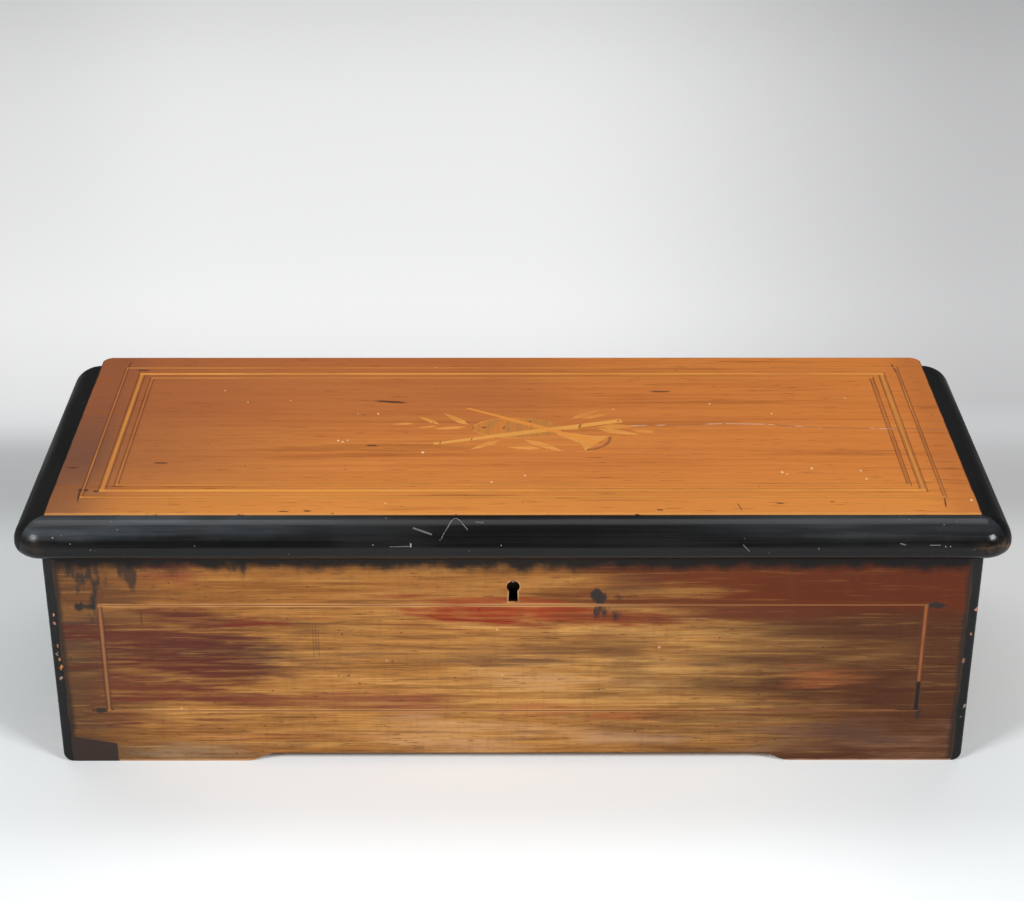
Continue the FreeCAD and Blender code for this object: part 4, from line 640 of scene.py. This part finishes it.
# Ebonised wood: near black and glossy, with brown wear, pale flecks and scratches
MOULDING_AXIS = (0.05, 135.35)
MOULDING_R = 13.05
MOULDING_MARKS = (
    # (x in mm, degrees up the round) of each point, width (mm), strength
    (((-36, 33), (-35.4, 40), (-34.3, 49), (-33.2, 57)), 0.45, 0.45),
    (((-33.2, 57), (-31.9, 70), (-30.8, 80), (-29.9, 85)), 0.45, 0.6),
    (((-29.9, 85), (-28.9, 88), (-27.8, 84), (-26.6, 78)), 0.5, 0.6),
    (((-26.6, 78), (-25.6, 70), (-24.7, 64), (-22.9, 53)), 0.45, 0.5),
    (((-50.3, 58), (-40.8, 42)), 1.2, 0.3),
    (((-62.2, 15), (-52.3, 16)), 0.5, 0.3),
    (((-51.4, 23), (-51.4, 14)), 0.8, 0.85),
    (((-19, 74), (-15, 73)), 1.6, 0.15),
    (((115, 20), (118.4, 4)), 0.6, 0.3),
    (((208.8, 18), (214.2, 18)), 0.4, 0.5),
    (((194, 22), (197, 18)), 0.7, 0.35),
)
MOULDING_FLECKS = (
    # x (mm), degrees up the round
    (-36.7, 30), (-70.2, 19), (-6.1, 18), (-64.1, 88), (-226.2, 40), (-221.8, 22), (-202.1, 75),
    (-198.6, 54), (-211.8, 8), (-209.5, 6), (-230.7, 35), (216.8, 15), (219.2, 15), (223, 75),
    (216.5, 66), (231.4, 8), (199.4, 83),
)
FLECK_R = 0.4 * MM
SHINY = (0.12, 0.32)
RUBBED_DULL = (0.4, 0.6)


def round_point(x, degrees):
    """Point on the front moulding's upper round, and the way that its face looks there."""
    angle = math.radians(degrees)
    outward = Vector((0, -math.cos(angle), math.sin(angle)))
    return case_point(x, *MOULDING_AXIS) + outward * MOULDING_R * MM, outward


def ebony(name, axis, roughness, specular=0.24):
    look = Look(name, Specular_IOR_Level=specular)
    cloud = look.noise(18, 6)
    fibres = look.noise(along_grain(axis, 9, 650), 4)
    depth = look.total((cloud, 0.5), (fibres, 0.5))
    look.base(look.ramp(depth, (0.35, (12, 12, 12)), (0.7, (27, 26, 25))))
    sparse = look.fade(look.noise(25, 4, 0.55, (4, 4, 4)), 0.46, 0.6)
    flecks = look.fade(look.cells(130), 0.08, 0.03)
    look.paint(look.product(flecks, sparse), (140, 136, 128), 0.7)
    look.set("Roughness", look.scaled(look.fade(depth, 0.38, 0.62), *roughness))
    look.bump(depth, 0.00012, 0.4)
    return look


def moulding(name, axis, *finish):
    """Lid moulding, rubbed brown at its front corners, scratched and flecked along the front, with a painted
    bluish reflection on the front's upper round and painted shade on its lower part.
    """
    look = ebony(name, axis, *finish)
    x, y, z = look.axes()
    out_x = look.scaled(look.fade(x, -0.23, 0.21), 0.3, 1)
    corner = look.product(look.fade(look.size(x), 0.226, 0.246), out_x,
                          look.fade(y, CASE_FRONT + 0.002, CASE_FRONT - 0.009),
                          look.fade(z, LID_LOW.z - 0.006, LID_LOW.z - 0.012))
    rub = look.fade(look.noise((120, 120, 200), 6, 0.7), 0.46, 0.6)
    look.paint(look.product(corner, rub), (104, 76, 52), 0.85)
    if axis == 0:
        # Painted reflection: a bluish-grey sheen on the front moulding's upper round, patchy along its length
        # and strongest at the left end
        ends = look.total((look.fade(x, -0.02, -0.2), 1), (look.fade(x, 0.05, 0.2), 0.55))
        cloudy = look.scaled(look.fade(look.noise((14, 14, 300), 5), 0.36, 0.62), 0.45, 1)
        upper = look.fade(look.uneven(z, 20, 4 * MM), LID_LOW.z - 0.0075, LID_LOW.z - 0.001)
        look.paint(look.product(upper, ends, cloudy), (72, 77, 81), 0.9)
        # Painted shade: the lower part of the round, towards the nose, near black
        look.grade(z, LID_LOW.z - 0.01, LID_LOW.z - 0.014, (4, 4, 4), 0.9)
        for points, width, strength in MOULDING_MARKS:
            places = [round_point(*point)[0] for point in points]
            outward = round_point(*points[len(points) // 2])[1]
            mark = look.path(places, width * MM, outward, 0.35)
            look.paint(mark, (176, 174, 168), strength)
        for fleck in MOULDING_FLECKS:
            spot = look.blob(round_point(*fleck)[0], [FLECK_R] * 3, 1.5, 0.8, 900)
            look.paint(spot, (190, 188, 180), 0.6)
    return look


STRIP_CHIPS = (
    # x, z, radius (mm), colour
    (-237, 91.5, 0.7, (186, 142, 110)), (-237.2, 86.5, 0.9, (160, 112, 84)),
    (-236.6, 72.6, 0.7, (160, 104, 66)), (-237.2, 68, 0.9, (182, 150, 120)),
    (-236.4, 63.6, 0.9, (176, 118, 72)), (-236.2, 59.2, 0.9, (206, 128, 62)),
    (-236.8, 52.5, 0.8, (150, 130, 116)), (239.2, 94, 1.1, (206, 132, 104)),
    (237.6, 79.2, 0.8, (150, 108, 84)), (235.4, 63.1, 1, (140, 96, 72)),
    (238.5, 34.6, 0.9, (150, 134, 124)), (237.4, 27.9, 0.8, (132, 116, 106)),
)


def corner_strip():
    """Ebonised strip down each front corner, brown at its ragged inner edge and chipped to bare wood."""
    look = ebony("corner_strip", 2, SHINY)
    half = look.uneven(look.size(look.axes()["X"]), (70, 70, 90), 1.6 * MM)
    look.grade(half, CASE_HALF - 0.0046, CASE_HALF - 0.0056, (70, 46, 32), 0.8)
    for at_x, at_z, radius, tint in STRIP_CHIPS:
        chip = look.blob(case_point(at_x, 0, at_z), (radius * MM, 1, radius * 1.5 * MM), 2, 0.6, 500)
        look.paint(chip, tint, 0.9)
    return look


# Card, glass, cast iron and the keyhole's liner
RULES_PER_METRE = 110


def card():
    """Aged card with a printed double border and ruled lines, no lettering."""
    look = Look("tune_card", Roughness=0.85)
    x, y, _ = look.axes()
    low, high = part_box("tune_card")
    foxing = look.noise(60, 6, 0.7)
    look.base(look.ramp(foxing, (0.35, (196, 172, 136)), (0.6, (228, 214, 186))))
    over_x = look.math("SUBTRACT", look.distance(x, (low.x + high.x) / 2), (high.x - low.x) / 2)
    over_y = look.math("SUBTRACT", look.distance(y, (low.y + high.y) / 2), (high.y - low.y) / 2)
    inside = look.math("MAXIMUM", over_x, over_y)
    for inset, width in ((6 * MM, 0.8 * MM), (8.5 * MM, 0.3 * MM)):
        off = look.size(look.math("ADD", inside, inset))
        look.grade(off, width, width * 0.6, (124, 74, 56))
    row = look.distance(look.math("FRACT", look.math("MULTIPLY", y, RULES_PER_METRE)), 0.5)
    ruled = look.product(look.fade(row, 0.035, 0.02), look.fade(inside, -13 * MM, -13.5 * MM))
    look.paint(ruled, (130, 104, 88), 0.6)
    look.bump(look.noise(700, 3), 0.00005, 0.4)
    return look


def glass():
    look = Look("glass_pane", Transmission_Weight=1, IOR=1.5)
    look.set("Base Color", (0.95, 0.985, 0.97, 1))
    look.set("Roughness", look.scaled(look.noise(30, 5), 0, 0.06))
    look.bump(look.noise(9, 2), 0.0002, 0.15)
    return look


def cast_iron():
    look = Look("dark_iron", Metallic=0.55)
    pits = look.noise(500, 5, 0.7)
    cloud = look.noise(22, 5)
    look.base(look.ramp(cloud, (0.35, (52, 53, 56)), (0.65, (82, 81, 80))))
    rust = look.noise(45, 6, 0.7, (3, 1, 4))
    look.grade(rust, 0.6, 0.72, (102, 70, 48), 0.6)
    look.set("Roughness", look.scaled(pits, 0.4, 0.62))
    look.bump(pits, 0.00025, 0.6)
    return look


def keyhole_liner():
    """Old metal liner, bare at its front edge, with painted shade darkening it to black deeper inside the
    hole.
    """
    look = Look("keyhole_liner", Metallic=0.6)
    cloud = look.noise(300, 5)
    look.base(look.ramp(cloud, (0.35, (146, 92, 50)), (0.65, (202, 150, 98))))
    # Painted shade: near black from just behind the front face inwards
    depth = look.uneven(look.axes()["Y"], 400, 0.3 * MM)
    look.grade(depth, CASE_FRONT + 0.2 * MM, CASE_FRONT + 0.9 * MM, (20, 17, 15), 0.97)
    look.set("Roughness", look.scaled(cloud, 0.4, 0.7))
    look.bump(cloud, 0.0001, 0.5)
    return look


BRASS = metal("brass", (190, 155, 93), (232, 203, 137), tarnish=(124, 96, 60))
BRASS_TURNED = metal("turned_brass", (203, 170, 103), (236, 210, 147), brushed=(2500, 40, 40))
STEEL = metal("steel", (158, 158, 160), (206, 206, 208), brushed=(1600, 60, 60))
DARK_STEEL = metal("dark_steel", (89, 89, 93), (134, 134, 137), tarnish=(90, 64, 48))
IRON = cast_iron()
SIDE_MOULDING = moulding("side_moulding", 1, RUBBED_DULL, 0.1)

END_DARK = ((46, 31, 24), (74, 50, 36), (100, 68, 47))
BACK_DARK = ((68, 45, 31), (100, 68, 46), (124, 89, 62))
CARCASS = ((128, 93, 63), (162, 121, 82), (180, 142, 101))
INSIDE = ((89, 60, 39), (124, 87, 57), (146, 107, 71))
LID_EDGE = ((134, 79, 45), (170, 104, 59), (188, 123, 74))
FRAME_DARK = ((63, 39, 26), (95, 60, 39), (120, 79, 52))

NODE_MATERIALS = {
    "front_veneer": front_veneer(),
    "front_stringing": front_string(),
    "lid_veneer": lid_veneer(),
    "lid_stringing": lid_string(),
    "lid_marquetry": marquetry(),
    "lid_moulding_front": moulding("front_moulding", 0, SHINY),
    "corner_strips": corner_strip(),
    "winding_grip": ebony("turned_grip", 0, SHINY),
    "back_panel": stained_ends(wood("back_board", *BACK_DARK, worn="back_panel")),
    "lid_back_rail": wood("lid_rail", *BACK_DARK, worn="lid_back_rail"),
    "lid_panel": wood("lid_board", *LID_EDGE),
    "front_panel": stained_ends(wood("front_board", *CARCASS)),
    "bottom_board": wood("bottom_wood", *CARCASS),
    "glass_lid_frame": wood("glass_frame_wood", *FRAME_DARK),
    "glass_pane": glass(),
    "tune_card": card(),
    "comb": metal("comb_steel", (149, 151, 157), (203, 204, 209), brushed=(60, 1800, 60)),
    "keyhole_escutcheon": keyhole_liner(),
    "lock_case": metal("lock_brass", (58, 48, 32), (96, 80, 52), (0.45, 0.6), tarnish=(40, 32, 24)),
}
for side in ("left", "right"):
    end, partition = side + "_end_panel", side + "_partition"
    NODE_MATERIALS[end] = wood(side + "_end_veneer", *END_DARK, axis=1, worn=end)
    NODE_MATERIALS[partition] = wood(partition + "_wood", *INSIDE, axis=1, worn=partition)
SHARED_MATERIALS = (
    (SIDE_MOULDING, ("lid_moulding_left", "lid_moulding_right")),
    (BRASS_TURNED, ("cylinder_sleeve", "barrel_drum", "cylinder_end_caps", "glass_lid_knob")),
    (IRON, ("bedplate", "comb_base")),
    (DARK_STEEL, ("mainspring", "ratchet_click", "tune_snail", "governor_fan", "lock_bolt")),
    (STEEL, ("winding_arbor", "ratchet_wheel", "cylinder_arbor", "winding_lever")),
    (STEEL, ("start_lever", "change_lever")),
)
for look, names in SHARED_MATERIALS:
    for name in names:
        NODE_MATERIALS[name] = look
for name, node in NODES.items():
    node.data.materials.clear()
    node.data.materials.append(NODE_MATERIALS.get(name, BRASS).material)


# Pieces too fine for the construction model
def added(name, data):
    """New object in the scene."""
    obj = bpy.data.objects.new(name, data)
    bpy.context.scene.collection.objects.link(obj)
    return obj


def piece(name, body, maker, look):
    """New mesh object that rides on a body."""
    mesh = bpy.data.meshes.new(name)
    shape = bmesh.new()
    maker(shape)
    shape.to_mesh(mesh)
    shape.free()
    mesh.materials.append(look.material)
    obj = added(name, mesh)
    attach(obj, body)


def standing(x, y, z):
    return Matrix.Translation((x, y, z))


def hanging(x, y, z):
    return Matrix.Translation((x, y, z)) @ Matrix.Rotation(math.pi, 4, "X")


def arc(radius, start, end, steps):
    """Points of a circle from one angle to another, both ends included."""
    angles = [start + (end - start) * step / steps for step in range(steps + 1)]
    return [(radius * math.cos(angle), radius * math.sin(angle)) for angle in angles]


def prism(shape, outline, low, high, place, top=1):
    """Prism over an outline, its upper end drawn in by a share."""
    rings = []
    for height, share in ((low, 1), (high, top)):
        rings.append([shape.verts.new(place @ Vector((u * share, v * share, height))) for u, v in outline])
    close_rings(shape, rings)


def lathe(shape, profile, place, sides=16):
    """Turned form from (radius, height) points, closed at both ends."""
    rings = []
    for radius, height in profile:
        circle = arc(radius, 0, 2 * math.pi, sides)[:-1]
        rings.append([shape.verts.new(place @ Vector((u, v, height))) for u, v in circle])
    close_rings(shape, rings)


def close_rings(shape, rings):
    """Faces between rings of points, with both ends capped."""
    shape.faces.new(rings[0][::-1])
    shape.faces.new(rings[-1])
    for lower, upper in zip(rings, rings[1:]):
        for index in range(len(lower)):
            following = (index + 1) % len(lower)
            shape.faces.new((lower[index], lower[following], upper[following], upper[index]))


SLOT_HALF_ANGLE = 0.16
SCREW_TURN = 1.1
SCREW_SIDES = 20
SHOULDER_SHARE = 0.55
HEAD_TOP_SHARE = 0.94


def slotted_screws(radius, height, places, washer=0):
    """Maker of a row of screws, each with a driver slot turned its own way and a washer where it has one."""
    def make(shape):
        for index, place in enumerate(places):
            place = place @ Matrix.Rotation(SCREW_TURN * index, 4, "Z")
            shoulder = height * SHOULDER_SHARE
            if washer:
                ring = ((washer, 0), (washer, height * 0.2), (washer * 0.96, height * 0.25))
                lathe(shape, ring, place, SCREW_SIDES)
            lathe(shape, ((radius, 0), (radius, shoulder)), place, SCREW_SIDES)
            for start in (SLOT_HALF_ANGLE, math.pi + SLOT_HALF_ANGLE):
                half = arc(radius, start, start + math.pi - 2 * SLOT_HALF_ANGLE, SCREW_SIDES // 2)
                prism(shape, half, shoulder, height, place, HEAD_TOP_SHARE)
    return make


COMB_LOW, COMB_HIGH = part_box("comb")
COMB_TEETH = 56
COMB_SCREWS = 9
COMB_SCREW_IN = 9 * MM


def comb_screw_places():
    first = COMB_LOW.x + COMB_SCREW_IN
    step = (COMB_HIGH.x - COMB_LOW.x - 2 * COMB_SCREW_IN) / (COMB_SCREWS - 1)
    row = COMB_LOW.y + COMB_SCREW_IN
    return [standing(first + step * index, row, COMB_HIGH.z) for index in range(COMB_SCREWS)]


LEAD_TEETH = 30
LEAD_LENGTHS = (2 * MM, 6.5 * MM)
LEAD_DEPTHS = (1.2 * MM, 5.5 * MM)
LEAD_WIDTH_SHARE = 0.6
LEAD_TIP_GAP = 2.5 * MM


def comb_leads(shape):
    """Tuning leads under the bass teeth, longest and deepest at the left."""
    pitch = (COMB_HIGH.x - COMB_LOW.x) / COMB_TEETH
    half_w = pitch * LEAD_WIDTH_SHARE / 2
    for tooth in range(LEAD_TEETH):
        share = 1 - tooth / LEAD_TEETH
        length = LEAD_LENGTHS[0] + (LEAD_LENGTHS[1] - LEAD_LENGTHS[0]) * share
        depth = LEAD_DEPTHS[0] + (LEAD_DEPTHS[1] - LEAD_DEPTHS[0]) * share
        half_l = length / 2
        middle = COMB_LOW.x + pitch * (tooth + 0.5)
        place = hanging(middle, COMB_HIGH.y - LEAD_TIP_GAP - half_l, COMB_LOW.z)
        outline = [(-half_w, -half_l), (half_w, -half_l), (half_w, half_l), (-half_w, half_l)]
        prism(shape, outline, 0, depth, place, 0.8)


SLEEVE_LOW, SLEEVE_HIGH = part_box("cylinder_sleeve")
PIN_SEED = 7
PIN_ROWS = 56
PINS_PER_ROW = 22
PIN_R = 0.22 * MM
PIN_STAND = 0.8 * MM
PIN_MARGIN = 2 * MM
PIN_TRACKS = (-0.9 * MM, -0.3 * MM, 0.3 * MM, 0.9 * MM)


def cylinder_pins(shape):
    """Short steel pins in rings round the cylinder, spaced as in a tune."""
    draw = random.Random(PIN_SEED)
    axis = (SLEEVE_LOW + SLEEVE_HIGH) / 2
    radius = (SLEEVE_HIGH.z - SLEEVE_LOW.z) / 2
    length = SLEEVE_HIGH.x - SLEEVE_LOW.x - 2 * PIN_MARGIN
    for row in range(PIN_ROWS):
        x = SLEEVE_LOW.x + PIN_MARGIN + length * (row + 0.5) / PIN_ROWS
        for _ in range(PINS_PER_ROW):
            angle = draw.uniform(0, 2 * math.pi)
            place = Matrix.Translation((x + draw.choice(PIN_TRACKS), axis.y, axis.z))
            place = place @ Matrix.Rotation(angle, 4, "X") @ Matrix.Translation((0, 0, radius))
            lathe(shape, ((PIN_R, 0), (PIN_R, PIN_STAND * 0.7), (PIN_R * 0.6, PIN_STAND)), place, 5)


WORM_PITCH = 2.356 * MM
WORM_STARTS = 2
WORM_HALF_L = 5.6 * MM
WORM_ROOT_R = 1.4 * MM
WORM_TIP_R = 2.6 * MM
WORM_ROOT_HALF = 0.5 * MM
WORM_TIP_HALF = 0.2 * MM
WORM_STEPS = 24


def worm_thread(shape):
    """Right-hand thread of the endless screw, with a gap facing the wheel's tooth."""
    fan_low, fan_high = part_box("governor_fan")
    wheel_low, wheel_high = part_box("governor_second_arbor")
    centre = (fan_low + fan_high) / 2
    centre.z = (wheel_low.z + wheel_high.z) / 2
    section = ((WORM_ROOT_R, -WORM_ROOT_HALF), (WORM_TIP_R, -WORM_TIP_HALF),
               (WORM_TIP_R, WORM_TIP_HALF), (WORM_ROOT_R, WORM_ROOT_HALF))
    rise = WORM_PITCH * WORM_STARTS / WORM_STEPS
    for start in range(WORM_STARTS):
        offset = WORM_PITCH * (start + 0.5)
        first = math.ceil((-WORM_HALF_L - offset) / rise)
        last = math.floor((WORM_HALF_L - offset) / rise)
        rings = []
        for step in range(first, last + 1):
            angle = 2 * math.pi * step / WORM_STEPS
            outward = Vector((math.sin(angle), -math.cos(angle), 0))
            level = centre + UP * (offset + rise * step)
            points = [level + outward * radius + UP * height for radius, height in section]
            rings.append([shape.verts.new(point) for point in points])
        close_rings(shape, rings)


# Depth behind the front face in millimetres, and sizes in metres
KEY_PIN_BACK = 11
KEY_PIN_L = 6 * MM
KEY_PIN_R = 1.1 * MM
KEY_BULB_DROP = 4.1 * MM


def key_pin(shape):
    """Pin inside the lock that a hollow key fits over."""
    low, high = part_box("keyhole_escutcheon")
    place = case_point((low.x + high.x) / 2 / MM, KEY_PIN_BACK)
    place.z = high.z - KEY_BULB_DROP
    turned = Matrix.Translation(place) @ Matrix.Rotation(math.pi / 2, 4, "X")
    lathe(shape, ((KEY_PIN_R, 0), (KEY_PIN_R, KEY_PIN_L * 0.85), (KEY_PIN_R * 0.5, KEY_PIN_L)), turned)


# Radius and height of points up a tack's round head
TACK_HEAD = ((1.7 * MM, 0), (1.5 * MM, 0.4 * MM), (0.9 * MM, 0.7 * MM), (0.3 * MM, 0.8 * MM))
TACK_IN = 4 * MM


def card_tacks(shape):
    """Round-headed tacks at the card's corners."""
    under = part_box("tune_card")[0].z
    for place in corner_places("tune_card", TACK_IN, under, hanging):
        lathe(shape, TACK_HEAD, place)


def corner_places(node, inset, z, make):
    """The four corners of a node's box, drawn in by an inset."""
    low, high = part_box(node)
    return [make(x, y, z) for x in (low.x + inset, high.x - inset) for y in (low.y + inset, high.y - inset)]


LEAF_HALF = 25 * MM
LEAF_SCREWS = (-16 * MM, 0, 16 * MM)
LEAF_SCREW_IN = 5 * MM
PLATE_SCREW_IN = 3.5 * MM


def leaf_places(node, z, make):
    """Three screws in each leaf of a pair of hinges."""
    low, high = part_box(node)
    middles = (low.x + LEAF_HALF, high.x - LEAF_HALF)
    return [make(middle + along, low.y + LEAF_SCREW_IN, z) for middle in middles for along in LEAF_SCREWS]


def plate_places(node, z, make):
    """A screw near each end of a narrow plate."""
    low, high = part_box(node)
    return [make(x, (low.y + high.y) / 2, z) for x in (low.x + PLATE_SCREW_IN, high.x - PLATE_SCREW_IN)]


BRIDGE_LOW, BRIDGE_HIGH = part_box("cylinder_bridges")
COCK_LOW, COCK_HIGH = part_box("governor_top_cock")
BED_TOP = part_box("bedplate")[1].z
FLANGE_TOP = BED_TOP + 4 * MM
LID_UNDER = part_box("lid_back_rail")[0].z
BRIDGE_SCREWS_X = (BRIDGE_LOW.x + 14 * MM, BRIDGE_HIGH.x - 6 * MM)
BRIDGE_SCREWS_Y = (BRIDGE_LOW.y + 4.5 * MM, BRIDGE_HIGH.y - 4.5 * MM)
COCK_SCREWS_X = (COCK_LOW.x + 2.5 * MM, COCK_HIGH.x - 2.5 * MM)
COCK_SCREWS_Y = COCK_LOW.y + 4 * MM
BED_SCREW_IN = 8 * MM
FLUSH = 0.1

bridge_places = [standing(x, y, FLANGE_TOP) for x in BRIDGE_SCREWS_X for y in BRIDGE_SCREWS_Y]
cock_places = [standing(x, COCK_SCREWS_Y, FLANGE_TOP) for x in COCK_SCREWS_X]
SCREWS = (
    # name, body, radius and height of the head and radius of the washer (mm), places
    ("comb_screws", "case", 2.6, 2.2, 3.8, comb_screw_places()),
    ("bedplate_screws", "case", 4, 2.2, 0, corner_places("bedplate", BED_SCREW_IN, BED_TOP, standing)),
    ("bridge_screws", "case", 2.4, 1.3, 0, bridge_places),
    ("cock_screws", "case", 1.6, 1.2, 0, cock_places),
    ("hinge_screws", "case", 2.2, FLUSH, 0, leaf_places("case_hinge_leaves", CASE_TOP, standing)),
    ("lid_hinge_screws", "lid", 2.2, FLUSH, 0, leaf_places("lid_hinge_leaves", LID_UNDER, hanging)),
    ("lock_screws", "case", 1.8, FLUSH, 0, plate_places("lock_case", CASE_TOP, standing)),
    ("link_plate_screws", "lid", 1.8, FLUSH, 0, plate_places("lock_link_plate", LID_UNDER, hanging)),
)
for name, body, radius, height, washer, places in SCREWS:
    piece(name, body, slotted_screws(radius * MM, height * MM, places, washer * MM), STEEL)
piece("card_tacks", "lid", card_tacks, BRASS)
piece("cylinder_pins", "cylinder", cylinder_pins, STEEL)
piece("comb_leads", "case", comb_leads, DARK_STEEL)
piece("worm_thread", "governor_fan", worm_thread, STEEL)
piece("key_pin", "case", key_pin, DARK_STEEL)

# Stage, light and camera, with colours in linear light, each pair from the middle or left to the right
FLOOR_HALF = 12
CAMERA_BACK = 1.45
# Table colours, painted light and shade: before the object, beside it, behind it and far off
TABLE_BEFORE = ((0.95, 0.985, 1), (0.82, 0.85, 0.86))
TABLE_SHADE_BESIDE = ((0.75, 0.785, 0.79), (0.84, 0.845, 0.84))
TABLE_SHADE_BEHIND = ((0.58, 0.595, 0.6), (0.645, 0.645, 0.645))
TABLE_FAR = ((0.86, 0.86, 0.86), (0.61, 0.61, 0.615))


def table():
    """Wide pale table top, graded from white before the object to greys beside and behind it, the grading
    being painted light and shade.
    """
    mesh = bpy.data.meshes.new("table")
    corners = ((-1, -1), (1, -1), (1, 1), (-1, 1))
    mesh.from_pydata([(u * FLOOR_HALF, v * FLOOR_HALF, 0) for u, v in corners], [], [(0, 1, 2, 3)])
    look = Look("table", Roughness=0.7, Specular_IOR_Level=0.2)
    x, y, _ = look.axes()

    def blend(colours, mask):
        return look.lay(colours[0], mask, colours[1])

    # Painted light and shade: white before the object fading to grey off to the sides, painted shade beside
    # and behind it, and the far part greyer to the right
    right_half = look.fade(x, 0, 0.2)
    sides = (blend(TABLE_SHADE_BESIDE, right_half), blend(TABLE_SHADE_BEHIND, right_half))
    beside = blend(sides, look.fade(y, 0.13, 0.21))
    before = blend(TABLE_BEFORE, look.fade(look.size(x), 0.1, 0.3))
    near = blend((before, beside), look.between(y, -0.06, 0.3, 0.04))
    spread = look.math("DIVIDE", x, look.math("ADD", y, CAMERA_BACK))
    to_right = look.fade(spread, 0, 0.2)
    look.base(blend((near, blend(TABLE_FAR, to_right)), look.fade(y, 0.26, 0.36)))
    # Painted light: the table emits light for camera, glossy and transmission rays, more the farther it lies
    # behind the object, a little well before it, and less to the right and the left
    rise = look.total((look.fade(y, 0.27, 0.55), 0.6), (look.fade(y, 0.5, 1.2), 0.4),
                      (look.fade(y, -0.12, -0.2), 0.3))
    to_left = look.scaled(look.fade(spread, -0.12, -0.2), 1, 0.8)
    seen = look.node("LightPath").outputs
    rays = look.math("MAXIMUM", seen["Is Camera Ray"], seen["Is Glossy Ray"])
    rays = look.math("MAXIMUM", rays, seen["Is Transmission Ray"])
    painted_table_light = look.product(rise, look.scaled(to_right, 0.33, 0.19), to_left, rays)
    look.set("Emission Strength", painted_table_light)
    mesh.materials.append(look.material)
    obj = added("table", mesh)


LAMP_AIM = Vector((0, 0, 0.1))
LAMPS = (
    # name, place, size (m), power (W)
    ("left", (-1.15, -1.05, 1.05), (0.5, 0.5), 20),
    ("right", (1.15, -1.05, 1.05), (0.5, 0.5), 20),
    ("top", (-0.1, 0.62, 1.4), (1.7, 0.8), 8),
)


def lamp(name, place, size, power):
    """Soft oblong lamp, pointed at the object."""
    light = bpy.data.lights.new(name, "AREA")
    light.shape = "RECTANGLE"
    light.size, light.size_y = size
    light.energy = power
    obj = added(name, light)
    obj.location = place
    obj.rotation_euler = (LAMP_AIM - Vector(place)).to_track_quat("-Z", "Y").to_euler()


# Place in millimetres from the case's middle, its front face and the table
CAMERA_PLACE = (-4.87, -952.46, 675.17)
CAMERA_PITCH = math.radians(27.16)
CAMERA_YAW = math.radians(0.25)
CAMERA_ROLL = math.radians(0.09)
CAMERA_LENS = 75.89
CAMERA_SENSOR = 36
CAMERA_CLIP = 0.01


def camera():
    """Camera at the photograph's viewing place."""
    data = bpy.data.cameras.new("camera")
    data.sensor_fit = "HORIZONTAL"
    data.sensor_width = CAMERA_SENSOR
    data.lens = CAMERA_LENS
    data.clip_start = CAMERA_CLIP
    obj = added("camera", data)
    turn = Matrix.Rotation(-CAMERA_YAW, 4, "Z") @ Matrix.Rotation(math.pi / 2 - CAMERA_PITCH, 4, "X")
    turn = turn @ Matrix.Rotation(CAMERA_ROLL, 4, "Z")
    obj.matrix_world = Matrix.Translation(case_point(*CAMERA_PLACE)) @ turn
    bpy.context.scene.camera = obj


WORLD_COLOUR = (0.93, 0.96, 1, 1)
WORLD_STRENGTH = 0.15


def world():
    scene_world = bpy.data.worlds.new("studio")
    scene_world.use_nodes = True
    background = scene_world.node_tree.nodes["Background"]
    background.inputs["Color"].default_value = WORLD_COLOUR
    background.inputs["Strength"].default_value = WORLD_STRENGTH
    bpy.context.scene.world = scene_world


table()
for settings in LAMPS:
    lamp(*settings)
camera()
world()
bpy.context.scene.view_settings.view_transform = "Standard"
